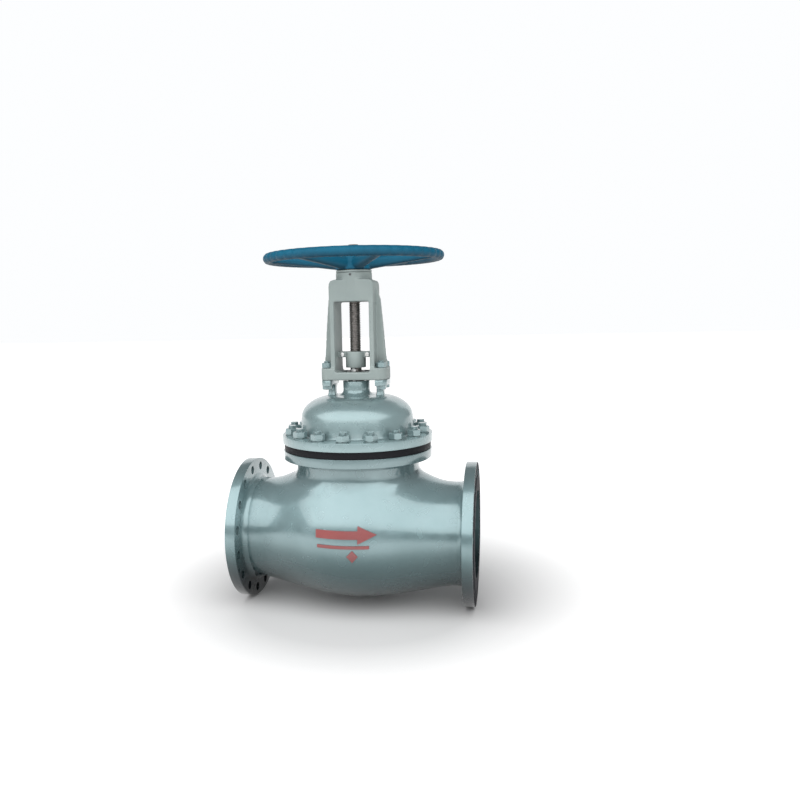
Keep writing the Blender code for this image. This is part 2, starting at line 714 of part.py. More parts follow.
def make_handwheel(parent):
    rim = []
    for i in range(8):
        angle = 2 * math.pi * (i + 0.5) / 8
        rim.append((WHEEL_R - WHEEL_RIM_R + WHEEL_RIM_R * math.cos(angle),
                    WHEEL_RIM_Z + WHEEL_RIM_HALF_H * math.sin(angle)))
    wheel = piece("handwheel", lathe(rim, 40), BLUE, parent)
    for i in range(WHEEL_SPOKES):
        combine(wheel, spoke(2 * math.pi * i / WHEEL_SPOKES), "UNION")
    hub = [(0, HUB_LOW_Z), (BOSS_R - 0.003, HUB_LOW_Z), (BOSS_R, HUB_LOW_Z + 0.004),
           (HUB_R, 1.238), (0.062, HUB_TOP_Z - 0.003), (0.059, HUB_TOP_Z), (0, HUB_TOP_Z)]
    combine(wheel, lathe(hub, MEDIUM), "UNION")
    combine(wheel, bar(SLEEVE_R + GAP, HUB_LOW_Z - 0.01, HUB_TOP_Z + 0.01), "DIFFERENCE")
    half = KEY_W / 2 + GAP
    keyway = box((SLEEVE_R - 0.005, -half, HUB_LOW_Z - 0.01),
                 (SLEEVE_R + KEY_H / 2 + GAP, half, HUB_TOP_Z + 0.01))
    combine(wheel, keyway, "DIFFERENCE")

    key = box((SLEEVE_R - KEY_H / 2, -KEY_W / 2, HUB_LOW_Z + 0.013),
              (SLEEVE_R + KEY_H / 2, KEY_W / 2, HUB_TOP_Z - 0.004))
    piece("handwheel_key", key, STEEL, parent)

    low = HUB_TOP_Z + GAP
    nut = [(0.0348, low), (0.050, low, HEX), (0.050, low + WHEEL_NUT_H - 0.003, HEX),
           (0.0475, low + WHEEL_NUT_H), (0.0348, low + WHEEL_NUT_H)]
    piece("handwheel_nut", lathe(nut, HEXES), ZINC, parent)


# ---------------------------------------------------------------- stem body


def make_stem(parent):
    head_low = SEAT_TOP_Z + DISC_T + 0.0016
    collar_z = BACKSEAT_LOW_Z - LIFT - 0.001
    profile = [(0, head_low), (0.034, head_low), (0.034, head_low + 0.022),
               (STEM_R, head_low + 0.026), (STEM_R, collar_z - 0.024),
               (STEM_R + 0.007, collar_z - 0.016), (STEM_R + 0.007, collar_z),
               (STEM_R, collar_z + 0.007), (STEM_R, STEM_TOP_Z - 0.003),
               (STEM_R - 0.003, STEM_TOP_Z), (0, STEM_TOP_Z)]
    piece("stem", lathe(profile, MEDIUM), DARK_STEEL, parent)


def make_stem_guide(parent):
    """Two halves clamped round the stem. Their square ends slide along the yoke's legs
    and keep the stem from turning."""
    reach = WINDOW_HALF - 0.0006
    for name, side in (("front", -1), ("back", 1)):
        half = piece(f"stem_guide_{name}",
                     bar(GUIDE_HUB_R, GUIDE_LOW_Z, GUIDE_TOP_Z), PAINT, parent)
        arms = box((-reach, -GUIDE_ARM_HALF_Y, GUIDE_ARM_LOW_Z),
                   (reach, GUIDE_ARM_HALF_Y, GUIDE_TOP_Z))
        combine(half, arms, "UNION")
        low_y, high_y = sorted((-side * 0.1, side * 0.0008))
        combine(half, box((-0.1, low_y, 0.7), (0.1, high_y, 0.9)), "DIFFERENCE")
        holes = [bar(STEM_R + GAP, 0.7, 0.9)]
        for x in (-GUIDE_BOLT_X, GUIDE_BOLT_X):
            hole = bar(GUIDE_BOLT_R + GAP, -0.05, 0.05, COARSE)
            holes.append(moved(hole, shift(x, 0, guide_bolt_z()) @ along_y()))
        combine(half, merged(holes), "DIFFERENCE")

    face = GUIDE_ARM_HALF_Y + GAP
    bolt = [(0, -face - 0.008), (0.0095, -face - 0.008, HEX), (0.0095, -face, HEX),
            (GUIDE_BOLT_R, -face), (GUIDE_BOLT_R, face + 0.014), (0, face + 0.014)]
    nut = [(GUIDE_BOLT_R + GAP, face), (0.0095, face, HEX), (0.0095, face + 0.010, HEX),
           (GUIDE_BOLT_R + GAP, face + 0.010)]
    for i, x in enumerate((-GUIDE_BOLT_X, GUIDE_BOLT_X)):
        place = shift(x, 0, guide_bolt_z()) @ along_y()
        piece(f"guide_bolt_{i + 1}", moved(lathe(bolt, COARSE), place), ZINC, parent)
        piece(f"guide_nut_{i + 1}", moved(lathe(nut, COARSE), place), ZINC, parent)


def guide_bolt_z():
    return (GUIDE_ARM_LOW_Z + GUIDE_TOP_Z) / 2


# ---------------------------------------------------------------- disc body


def make_disc(parent):
    low = SEAT_TOP_Z + GAP
    top = low + DISC_T
    pocket_low = SEAT_TOP_Z + DISC_T + 0.001
    pocket_top = pocket_low + 0.030
    profile = [(0, low - 0.012), (SEAT_R - 0.014, low - 0.012), (SEAT_R - 0.004, low),
               (DISC_R - 0.003, low), (DISC_R, low + 0.003), (DISC_R, low + 0.024),
               (DISC_R - 0.006, low + 0.030), (0.085, top + 0.006),
               (DISC_HUB_R + 0.004, top + 0.016), (DISC_HUB_R, top + 0.026),
               (DISC_HUB_R, DISC_HUB_TOP_Z), (0.046, DISC_HUB_TOP_Z), (0.046, pocket_top),
               (0.0355, pocket_top), (0.0355, pocket_low), (0, pocket_low)]
    piece("disc", lathe(profile, FINE), STAINLESS, parent)
    nut_low, bore = pocket_top + GAP, STEM_R + 0.001
    nut = [(bore, nut_low), (0.0457, nut_low), (0.0457, DISC_HUB_TOP_Z + 0.002),
           (0.040, DISC_HUB_TOP_Z + 0.002, HEX), (0.040, DISC_HUB_TOP_Z + 0.018, HEX),
           (bore, DISC_HUB_TOP_Z + 0.018)]
    piece("disc_nut", lathe(nut, HEXES), STEEL, parent)


# ---------------------------------------------------------------- the whole valve


def main():
    for thing in list(bpy.data.objects):
        bpy.data.objects.remove(thing, do_unlink=True)
    make_valve_body()
    make_seat_ring()
    make_bonnet_gasket()
    make_bonnet()
    make_bonnet_studs()
    make_stem_seal()
    make_gland_fasteners()
    make_yoke()
    make_yoke_fasteners()
    make_bearing_cover()
    make_thrust_bearings()

    wheel_axis = joint_axis("handwheel_axis")
    make_stem_nut(wheel_axis)
    make_handwheel(wheel_axis)

    stem_axis = joint_axis("stem_axis")
    make_stem(stem_axis)
    make_stem_guide(stem_axis)

    disc_axis = joint_axis("disc_axis")
    make_disc(disc_axis)


main()
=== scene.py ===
"""Looks of the flanged globe valve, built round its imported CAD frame.

Castings are enamelled grey-green with soft cast edges, the handwheel is blue, the fasteners,
stem and guide are turned or plated metal. Metres, +X along the flow, +Z up the stem.
"""

import math
import random

import bmesh
import bpy
import numpy as np
from mathutils import Matrix, Vector


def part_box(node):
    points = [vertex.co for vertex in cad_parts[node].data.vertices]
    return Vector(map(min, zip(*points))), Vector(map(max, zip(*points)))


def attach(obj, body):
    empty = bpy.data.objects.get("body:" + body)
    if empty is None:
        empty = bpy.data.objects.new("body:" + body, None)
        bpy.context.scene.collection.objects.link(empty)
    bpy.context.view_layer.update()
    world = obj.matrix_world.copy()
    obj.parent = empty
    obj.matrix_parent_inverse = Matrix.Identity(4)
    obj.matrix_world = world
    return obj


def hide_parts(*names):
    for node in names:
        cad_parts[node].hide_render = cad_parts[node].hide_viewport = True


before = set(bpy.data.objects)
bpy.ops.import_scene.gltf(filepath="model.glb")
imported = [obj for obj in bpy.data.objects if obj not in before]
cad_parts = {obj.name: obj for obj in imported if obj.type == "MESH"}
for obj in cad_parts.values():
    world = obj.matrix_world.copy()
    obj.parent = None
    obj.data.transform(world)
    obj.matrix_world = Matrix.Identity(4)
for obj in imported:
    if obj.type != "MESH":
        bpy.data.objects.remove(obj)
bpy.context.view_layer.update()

# -------- sizes read from the frame


def low(node):
    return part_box(node)[0]


def high(node):
    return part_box(node)[1]


def span(node):
    """The heights between which a node lies."""
    return low(node).z, high(node).z


FACE_X = high("valve_body").x
RING_TOP = high("valve_body").z
PIPE_FLANGE_R = -low("valve_body").z + 0.0014      # the frame's 34-sided flange is a little flat
GASKET_LOW, GASKET_TOP = span("bonnet_gasket")
GASKET_R = high("bonnet_gasket").x
BONNET_LOW, PAD_TOP = span("bonnet")
BONNET_R = high("bonnet").x
STUD_LOW, STUD_TOP = span("bonnet_stud_01")
STUD_CIRCLE_R = (low("bonnet_stud_01").x + high("bonnet_stud_01").x) / 2
PLATE_LOW, BOSS_TOP = span("yoke")
PLATE_HALF_X = high("yoke").x
PLATE_HALF_Y = high("yoke").y
COVER_TOP = high("bearing_cover").z
COVER_R = high("bearing_cover").x
SCREW_Z = (low("cover_set_screw").z + high("cover_set_screw").z) / 2
WHEEL_R = high("handwheel").x
HUB_LOW = low("handwheel").z
WHEEL_NUT_LOW, WHEEL_NUT_TOP = span("handwheel_nut")
SLEEVE_LOW, SLEEVE_TOP = span("stem_nut")
STEM_LOW, STEM_TOP = span("stem")
GUIDE_LOW, GUIDE_TOP = span("stem_guide_front")
GUIDE_HALF_X = high("stem_guide_front").x
FOLLOWER_LOW, FOLLOWER_TOP = span("gland_flange")
DISC_LOW, DISC_TOP = span("disc")
DISC_R = high("disc").x
SEAT_LOW, SEAT_TOP = span("seat_ring")

# -------- design sizes

GAP = 0.0003
BORE_R = 0.200
PIPE_FLANGE_T = 0.050
RAISED_FACE_R = 0.2675
RAISED_FACE_T = 0.003
PIPE_BOLT_CIRCLE_R = 0.2925
PIPE_BOLT_HOLE_R = 0.0195
BOLTS = 16                      # on each pipe flange, and on the bonnet joint

BODY_END_R = 0.2375
BULGE_HALF = 0.450
BELLY_HALF_WIDTH = 0.378
BELLY_UP = 0.403
BELLY_DOWN = 0.297
WALL_T = 0.030
BRIDGE_T = 0.032
NECK_R = 0.283
NECK_BORE_R = 0.250
NECK_FILLET = 0.030
RING_T = 0.040
RING_R = 0.342
STUD_R = 0.018
STUD_HOLE_R = 0.0195

BONNET_FLANGE_T = 0.038
DOME_TOP = 0.640
COLUMN_R = 0.061
COLUMN_TOP = 0.705
PACKING_R = 0.038
PACKING_LOW = 0.600
BACKSEAT_LOW = 0.560
BACKSEAT_TOP = 0.582
PLATE_TOP = 0.766
PLATE_FLOOR = 0.748
PLATE_CORNER_R = 0.042
PAD_INNER_X = 0.101
PAD_T = 0.0257
YOKE_BOLT_X = 0.125
YOKE_BOLT_Y = 0.047
YOKE_BOLT_R = 0.0135
YOKE_NUT_FLAT_R = 0.0205
YOKE_BOLT_HOLE_R = 0.0140
GLAND_STUD_R = 0.007
GUIDE_BOLT_R = 0.006
GUIDE_NUT_FLAT_R = 0.0095
WINDOW_HALF = 0.079
WINDOW_TOP = 1.060
LEG_HALF_Y = 0.079
LEG_T = 0.0205
WEB_HALF_Y = 0.013
BEARING_R = 0.066
BEARING_LOW = 1.086
SLEEVE_R = 0.040
RIM_R = 0.018
RIM_HALF_H = 0.020
RIM_Z = 1.2555
FINGER_WAVES = 46
HUB_TOP = 1.274
SPOKES = 6
STEM_R = 0.0255
THREAD_PITCH = 0.008
SEAT_R = 0.190
SEAT_RING_R = 0.2145

ROUND = 128                     # sides of the large turned pieces
SMALL = 48                      # sides of fasteners
CREASE = math.radians(32)       # sharper edges than this stay sharp in the shading


# -------- mesh helpers


def turned(angle):
    return Matrix.Rotation(angle, 4, "Z")


def shift(x, y, z):
    return Matrix.Translation((x, y, z))


ALONG_X = Matrix.Rotation(math.pi / 2, 4, "Y")
ALONG_Y = Matrix.Rotation(-math.pi / 2, 4, "X")


def around(sides):
    """The angles of evenly spaced steps round a circle."""
    return [2 * math.pi * i / sides for i in range(sides)]


def polar(radius, angle, z):
    return (radius * math.cos(angle), radius * math.sin(angle), z)


def bolt_circle(count, radius, first=0.0):
    return [turned(first + angle) @ shift(radius, 0, 0) for angle in around(count)]


def eased(profile, radius, steps=3, closed=False):
    """The profile with each corner rounded off, by up to radius."""
    result = []
    count = len(profile)
    for i, corner in enumerate(profile):
        here = Vector(corner)
        back = Vector(profile[i - 1]) - here
        ahead = Vector(profile[(i + 1) % count]) - here
        at_end = not closed and i in (0, count - 1)
        if at_end or (-back).angle(ahead, 0.0) < math.radians(12):
            result.append(tuple(here))
            continue
        reach = min(radius, 0.45 * back.length, 0.45 * ahead.length)
        start = here + back.normalized() * reach
        end = here + ahead.normalized() * reach
        for k in range(steps + 1):
            t = k / steps
            result.append(tuple(start * (1 - t) ** 2 + here * 2 * t * (1 - t) + end * t * t))
    return result


def rings_mesh(name, rings, looped=False):
    """Skin a stack of rings. A looped stack closes on itself, any other gets end caps."""
    count = len(rings[0])
    verts = [point for ring in rings for point in ring]
    faces = []
    pairs = [(i, i + 1) for i in range(len(rings) - 1)]
    if looped:
        pairs.append((len(rings) - 1, 0))
    for a, b in pairs:
        for i in range(count):
            j = (i + 1) % count
            faces.append((a * count + i, a * count + j, b * count + j, b * count + i))
    if not looped:
        faces.append(tuple(range(count)))
        faces.append(tuple(range((len(rings) - 1) * count, len(rings) * count)))
    mesh = bpy.data.meshes.new(name)
    mesh.from_pydata(verts, [], faces)
    return outward(mesh)


def outward(mesh):
    """Weld doubled points and make the faces point outwards."""
    work = bmesh.new()
    work.from_mesh(mesh)
    bmesh.ops.remove_doubles(work, verts=work.verts, dist=1e-6)
    bmesh.ops.recalc_face_normals(work, faces=work.faces)
    work.to_mesh(mesh)
    work.free()
    return mesh


def turn(name, profile, sides=ROUND, ease=0.0, steps=3):
    """Turn (radius, height) points about Z. A profile that starts off the axis is a ring."""
    ring_shaped = profile[0][0] > 0 and profile[-1][0] > 0
    if ease:
        profile = eased(profile, ease, steps, closed=ring_shaped)
    angles = np.arange(sides) * 2 * math.pi / sides
    nearly_axis = 1e-7
    rings = [[polar(max(radius, nearly_axis), a, z) for a in angles] for radius, z in profile]
    return rings_mesh(name, rings, ring_shaped)


def hexagon(flat_r, angle):
    from_flat = (angle + math.pi / 6) % (math.pi / 3) - math.pi / 6
    return flat_r / math.cos(from_flat)


def hex_rings(flat_r, z0, z1, sides, chamfers="top"):
    """Rings of a hexagon whose corners are cut by a 30 degree cone at the top, the bottom or
    both ends."""
    corner = flat_r / math.cos(math.pi / 6)
    drop = (corner - flat_r * 0.96) * math.tan(math.radians(30))
    upper = [(z1 - drop * (1 - t), corner - (corner - flat_r * 0.96) * t)
             for t in np.linspace(0, 1, 6)]
    lower = [(z0 + z1 - z, cone) for z, cone in reversed(upper)]
    if chamfers == "top":
        lower = [(z0, corner)]
    if chamfers == "bottom":
        upper = [(z1, corner)]
    return [[polar(min(hexagon(flat_r, a), cone), a, z) for a in around(sides)]
            for z, cone in lower + upper]


def circles(steps, sides=SMALL):
    """One ring for each (radius, height)."""
    return [[polar(radius, angle, z) for angle in around(sides)] for radius, z in steps]


def nut_mesh(name, flat_r, z0, z1, bore, sides=SMALL, chamfers="top"):
    """A hexagon nut with a countersunk bore."""
    sink = 0.0012
    rings = circles([(bore, z0)], sides) + hex_rings(flat_r, z0, z1, sides, chamfers)
    rings += circles([(bore + sink, z1), (bore, z1 - sink)], sides)
    return rings_mesh(name, rings, True)


def thread_rings(radius, pitch, z0, z1, sides, depth, hand=1, steps=6):
    """Rings of a screw thread: a wave of radius that climbs one pitch each turn. It fades
    out over the last half turn at both ends."""
    count = max(2, int(round((z1 - z0) / pitch * steps)))
    rings = []
    for k in range(count + 1):
        z = z0 + (z1 - z0) * k / count
        fade = min(1.0, (z - z0) / (0.5 * pitch), (z1 - z) / (0.5 * pitch))
        ring = []
        for angle in around(sides):
            phase = (z / pitch - hand * angle / (2 * math.pi)) % 1.0
            groove = min(1.0, max(0.0, 1.6 - 4.4 * abs(phase - 0.5)))
            ring.append(polar(radius - depth * groove * max(0.0, fade), angle, z))
        rings.append(ring)
    return rings


def prism(name, outline, z0, z1):
    return rings_mesh(name, [[(x, y, z) for x, y in outline] for z in (z0, z1)])


def rounded_rectangle(half_x, half_y, corner, steps=8):
    points = []
    for side_x, side_y, start in ((1, 1, 0), (-1, 1, 90), (-1, -1, 180), (1, -1, 270)):
        for i in range(steps + 1):
            angle = math.radians(start + 90 * i / steps)
            points.append((side_x * (half_x - corner) + corner * math.cos(angle),
                           side_y * (half_y - corner) + corner * math.sin(angle)))
    return points


def box_mesh(name, low_corner, high_corner):
    (x0, y0, z0), (x1, y1, z1) = low_corner, high_corner
    return prism(name, [(x0, y0), (x1, y0), (x1, y1), (x0, y1)], z0, z1)


def upright(name, outline, half_y):
    """An (x, z) outline, 2 * half_y thick across the flow."""
    mesh = prism(name, outline, -half_y, half_y)
    mesh.transform(ALONG_Y.inverted())
    return mesh


def moved(mesh, matrix):
    mesh.transform(matrix)
    return mesh


def joined(name, meshes):
    """Several loose meshes as one."""
    work = bmesh.new()
    for mesh in meshes:
        work.from_mesh(mesh)
        bpy.data.meshes.remove(mesh)
    result = bpy.data.meshes.new(name)
    work.to_mesh(result)
    work.free()
    return result


def add_object(name, data):
    thing = bpy.data.objects.new(name, data)
    bpy.context.scene.collection.objects.link(thing)
    return thing


def discard(thing):
    data = thing.data
    bpy.data.objects.remove(thing)
    bpy.data.meshes.remove(data)


def with_modifiers(mesh, *steps):
    """The mesh after a row of modifiers. Each step is a modifier's type and its settings."""
    thing = add_object("scratch", mesh)
    for kind, settings in steps:
        modifier = thing.modifiers.new("step", kind)
        for key, value in settings.items():
            setattr(modifier, key, value)
    bpy.context.view_layer.update()
    graph = bpy.context.evaluated_depsgraph_get()
    result = bpy.data.meshes.new_from_object(thing.evaluated_get(graph))
    result.name = mesh.name
    discard(thing)
    return result


def combined(mesh, steps):
    """Boolean steps, each (operation, mesh), done in order."""
    tools = [add_object("scratch_tool", other) for _, other in steps]
    result = with_modifiers(mesh, *[
        ("BOOLEAN", {"operation": operation, "object": tool, "solver": "EXACT"})
        for (operation, _), tool in zip(steps, tools)])
    for tool in tools:
        discard(tool)
    return result


def without(meshes):
    """The boolean step that takes all these meshes away."""
    return ("DIFFERENCE", joined("cuts", meshes))


def softened(mesh, voxel, rounds):
    """Remesh a crisp shape and relax it, which rounds its edges and fills its corners as
    casting does."""
    return with_modifiers(mesh, ("REMESH", {"mode": "VOXEL", "voxel_size": voxel}),
                          ("SMOOTH", {"factor": 0.5, "iterations": rounds}))


def bevelled(mesh, width):
    return with_modifiers(mesh, ("BEVEL", {"width": width, "segments": 2, "limit_method": "ANGLE",
                                           "angle_limit": math.radians(35)}))


def place(name, mesh, material, body, replaced=(), matrix=None):
    """One shown piece, riding on its body."""
    mesh.name = name
    mesh.materials.clear()
    mesh.materials.append(material)
    mesh.shade_smooth()
    mesh.set_sharp_from_angle(angle=CREASE)
    piece = add_object(name, mesh)
    if matrix is not None:
        piece.matrix_world = matrix
    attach(piece, body)
    if replaced:
        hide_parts(*replaced)
    return piece


# -------- materials


class Surface:
    """A Principled material and the few node patterns that this valve's finishes use."""

    def __init__(self, name, colour, roughness, metallic=0.0, coat=0.0, specular=0.5):
        self.material = bpy.data.materials.new(name)
        self.material.use_nodes = True
        self.tree = self.material.node_tree
        self.shader = self.tree.nodes["Principled BSDF"]
        self.base = (*colour, 1)
        for key, value in (("Roughness", roughness), ("Metallic", metallic), ("Coat Weight", coat),
                           ("Coat Roughness", 0.06), ("Specular IOR Level", specular),
                           ("Base Color", self.base)):
            self.shader.inputs[key].default_value = value
        self.colour = None
        self.bump_end = None
        self.where = self.node("TexCoord").outputs["Object"]

    def node(self, kind, **values):
        made = self.tree.nodes.new("ShaderNode" + kind)
        for key, value in values.items():
            if hasattr(made, key):
                setattr(made, key, value)
            else:
                made.inputs[key.title()].default_value = value
        return made

    def link(self, source, target):
        self.tree.links.new(source, target)

    def noise(self, scale, detail=2.0, roughness=0.5):
        made = self.node("TexNoise", scale=scale, detail=detail, roughness=roughness)
        self.link(self.where, made.inputs["Vector"])
        return made.outputs["Fac"]

    def maths(self, operation, *values):
        """A math node. Each value is a number or another node's output."""
        made = self.node("Math", operation=operation)
        for value, socket in zip(values, made.inputs):
            if isinstance(value, float):
                socket.default_value = value
            else:
                self.link(value, socket)
        return made.outputs["Value"]

    def spread(self, source, low_in, high_in, low_out, high_out):
        made = self.node("MapRange")
        self.link(source, made.inputs["Value"])
        for key, value in (("From Min", low_in), ("From Max", high_in),
                           ("To Min", low_out), ("To Max", high_out)):
            made.inputs[key].default_value = value
        return made.outputs["Result"]

    def tint(self, mask, colour):
        """Mix another colour over the surface where the mask is 1."""
        made = self.node("Mix", data_type="RGBA")
        self.link(mask, made.inputs["Factor"])
        if self.colour is None:
            made.inputs[6].default_value = self.base
        else:
            self.link(self.colour, made.inputs[6])
        made.inputs[7].default_value = (*colour, 1)
        self.colour = made.outputs[2]
        self.link(self.colour, self.shader.inputs["Base Color"])

    def rough(self, source, lowest, highest):
        self.link(self.spread(source, 0.3, 0.7, lowest, highest), self.shader.inputs["Roughness"])

    def bump(self, source, distance, strength=1.0):
        made = self.node("Bump")
        made.inputs["Distance"].default_value = distance
        made.inputs["Strength"].default_value = strength
        self.link(source, made.inputs["Height"])
        if self.bump_end is not None:
            self.link(self.bump_end, made.inputs["Normal"])
        self.bump_end = made.outputs["Normal"]
        self.link(self.bump_end, self.shader.inputs["Normal"])

    def pointiness(self):
        return self.node("NewGeometry").outputs["Pointiness"]

    def part(self, vector, axis):
        made = self.node("SeparateXYZ")
        self.link(vector, made.inputs["Vector"])
        return made.outputs[axis]

    def tilt(self):
        """1 where the surface faces up, -1 where it faces down."""
        return self.part(self.node("NewGeometry").outputs["Normal"], "Z")

    def radius(self, axis):
        """Distance from an axis through the origin."""
        keep = {"X": (0, 1, 1), "Y": (1, 0, 1), "Z": (1, 1, 0)}[axis]
        flat = self.node("VectorMath", operation="MULTIPLY")
        self.link(self.where, flat.inputs[0])
        flat.inputs[1].default_value = keep
        length = self.node("VectorMath", operation="LENGTH")
        self.link(flat.outputs["Vector"], length.inputs[0])
        return length.outputs["Value"]

    def coordinate(self, axis):
        return self.part(self.where, axis)

    def ridges(self, source, spacing):
        """A fine wave, as a turning tool leaves."""
        return self.maths("SINE", self.maths("MULTIPLY", source, 2 * math.pi / spacing))


def enamel(name, colour, dark, light, metallic, gloss):
    """Enamel sprayed on a casting: faint runs of tone, orange peel and soft dents."""
    paint = Surface(name, colour, 0.22, metallic, 0.85 * gloss, 0.2 + 0.4 * gloss)
    paint.tint(paint.spread(paint.noise(5.0, 3), 0.42, 0.72, 0.0, 0.55), dark)
    paint.tint(paint.spread(paint.noise(38.0, 4), 0.52, 0.78, 0.0, 0.06), light)
    # Darker in creases and hollows: dirt pooled in the paint, and painted shade.
    paint.tint(paint.spread(paint.pointiness(), 0.49, 0.43, 0.0, 0.6), dark)
    # Darker where the surface faces down: painted shade.
    paint.tint(paint.spread(paint.tilt(), 0.30, -0.85, 0.0, 0.85), tuple(c * 0.3 for c in dark))
    paint.rough(paint.noise(14.0, 3), 0.58 - 0.40 * gloss, 0.70 - 0.40 * gloss)
    paint.bump(paint.noise(26.0, 2), 0.0010, 0.30)
    paint.bump(paint.noise(420.0, 1), 0.00014, 0.30)
    return paint


def machined(name, colour, roughness, axis, spacing=0.0009, metallic=1.0, specular=0.5):
    """Turned metal, with the tool's rings about one axis."""
    metal = Surface(name, colour, roughness, metallic=metallic, specular=specular)
    darker = tuple(c * 0.55 for c in colour)
    metal.tint(metal.spread(metal.noise(22.0, 4), 0.45, 0.75, 0.0, 0.6), darker)
    metal.rough(metal.noise(60.0, 3), roughness - 0.06, roughness + 0.12)
    metal.bump(metal.ridges(metal.radius(axis), spacing), 0.00006, 0.5)
    metal.bump(metal.noise(300.0, 2), 0.00008, 0.3)
    return metal.material


def plated(name, colour, roughness, stain):
    """Zinc or oiled steel: crystals, handling marks, a little grime and painted shade in hollows.
    """
    metal = Surface(name, colour, roughness, metallic=1.0)
    metal.tint(metal.spread(metal.noise(90.0, 3), 0.45, 0.7, 0.0, 0.7), stain)
    # Darker in hollows: a little grime, and painted shade.
    hollow_grime_and_shade = metal.spread(metal.pointiness(), 0.48, 0.40, 0.0, 0.7)
    metal.tint(hollow_grime_and_shade, tuple(c * 0.3 for c in stain))
    metal.rough(metal.noise(180.0, 3), roughness - 0.07, roughness + 0.14)
    metal.bump(metal.noise(700.0, 2), 0.00006, 0.4)
    return metal.material


def packed_fibre(name, colour, sheen_colour):
    """Gasket sheet or graphite packing: matte, with short fibres pressed in."""
    sheet = Surface(name, colour, 0.5, specular=0.15)
    sheet.tint(sheet.spread(sheet.noise(240.0, 4, 0.6), 0.5, 0.72, 0.0, 0.6), sheen_colour)
    sheet.rough(sheet.noise(120.0, 3), 0.34, 0.62)
    sheet.bump(sheet.noise(520.0, 3), 0.00012, 0.5)
    sheet.bump(sheet.ridges(sheet.coordinate("Z"), 0.0046), 0.00015, 0.35)
    return sheet.material


def painted_shade_enamel():
    """The body's enamel, with painted shade from its middle down, under the bonnet's flange and
    most of all on the lower half of the pipe flanges."""
    paint = enamel("painted_shade_enamel", (0.262, 0.378, 0.396), (0.190, 0.305, 0.318),
                   (0.320, 0.425, 0.430), 0.45, 1.0)
    height = paint.maths("MULTIPLY_ADD", paint.noise(7.0, 3), 0.08, paint.coordinate("Z"))
    # Darker from the middle down and darkest at the bottom: painted shade.
    paint.tint(paint.spread(height, 0.14, 0.00, 0.0, 0.78), (0.052, 0.105, 0.110))
    paint.tint(paint.spread(height, 0.00, -0.24, 0.0, 0.90), (0.016, 0.034, 0.038))
    # Darker just under the flange ring: painted shadow.
    paint.tint(paint.spread(height, 0.29, 0.34, 0.0, 0.55), (0.110, 0.155, 0.160))
    # Lower half of both pipe flanges near black: painted shade.
    flanges = paint.spread(paint.maths("ABSOLUTE", paint.coordinate("X")), 0.47, 0.50, 0.0, 1.0)
    lower_half = paint.spread(height, 0.02, -0.20, 0.0, 0.95)
    paint.tint(paint.maths("MULTIPLY", flanges, lower_half), (0.012, 0.014, 0.017))
    return paint.material


CASTING_PAINT = painted_shade_enamel()
BODY_PAINT = enamel("body_enamel", (0.278, 0.385, 0.396), (0.205, 0.305, 0.318),
                    (0.330, 0.428, 0.430), 0.40, 0.9).material
YOKE_PAINT = enamel("yoke_enamel", (0.300, 0.350, 0.340), (0.235, 0.285, 0.280),
                    (0.335, 0.390, 0.380), 0.05, 0.1).material
WHEEL_PAINT = enamel("wheel_enamel", (0.000, 0.098, 0.172), (0.000, 0.062, 0.115),
                     (0.001, 0.135, 0.225), 0.0, 0.06).material
MARK_PAINT = enamel("mark_enamel", (0.290, 0.070, 0.068), (0.220, 0.080, 0.082),
                    (0.360, 0.180, 0.170), 0.0, 0.5).material
GASKET = packed_fibre("gasket_sheet", (0.005, 0.005, 0.007), (0.014, 0.014, 0.017))
GRAPHITE = packed_fibre("graphite", (0.045, 0.045, 0.05), (0.10, 0.10, 0.11))
# Near black: greased facing, made darker as painted shade.
FACING = machined("flange_facing", (0.016, 0.016, 0.021), 0.60, "X", 0.0016, 0.0, 0.12)
STAINLESS = machined("stainless", (0.56, 0.55, 0.53), 0.26, "Z")
BRONZE = machined("bronze", (0.48, 0.30, 0.13), 0.34, "Z", 0.0007)
STEM_STEEL = plated("stem_steel", (0.27, 0.255, 0.245), 0.42, (0.11, 0.10, 0.095))
DARK_STEEL = plated("dark_steel", (0.13, 0.13, 0.135), 0.40, (0.08, 0.075, 0.07))
ZINC = plated("zinc", (0.56, 0.57, 0.57), 0.30, (0.40, 0.40, 0.38))
TURNED = machined("turned_steel", (0.36, 0.36, 0.37), 0.34, "Z")


# -------- body casting


def belly(x):
    """Half width, reach up and reach down of the casting at x."""
    share = np.clip(1 - (x / BULGE_HALF) ** 2, 0, 1)
    return (BODY_END_R + (BELLY_HALF_WIDTH - BODY_END_R) * share ** 2.0,
            BODY_END_R + (BELLY_UP - BODY_END_R) * share ** 2.3,
            BODY_END_R + (BELLY_DOWN - BODY_END_R) * share ** 1.35)


def casting_field(p):
    """Below zero inside the casting: the bulge and the neck, blended by a fillet."""
    x, y, z = p[:, 0], p[:, 1], p[:, 2]
    half_width, up, down = belly(x)
    reach = np.where(z > 0, up, down)
    share = np.sqrt((y / half_width) ** 2 + (z / reach) ** 2) + 1e-9
    bulge = np.hypot(y, z) * (1 - 1 / share)
    neck = np.maximum(np.hypot(x, y) - NECK_R, -z)
    mix = np.clip(0.5 + 0.5 * (neck - bulge) / NECK_FILLET, 0, 1)
    blend = neck * (1 - mix) + bulge * mix - NECK_FILLET * mix * (1 - mix)
    caps = np.maximum(np.abs(x) - (FACE_X - 0.030), z - (RING_TOP - 0.020))
    return np.maximum(blend, caps)


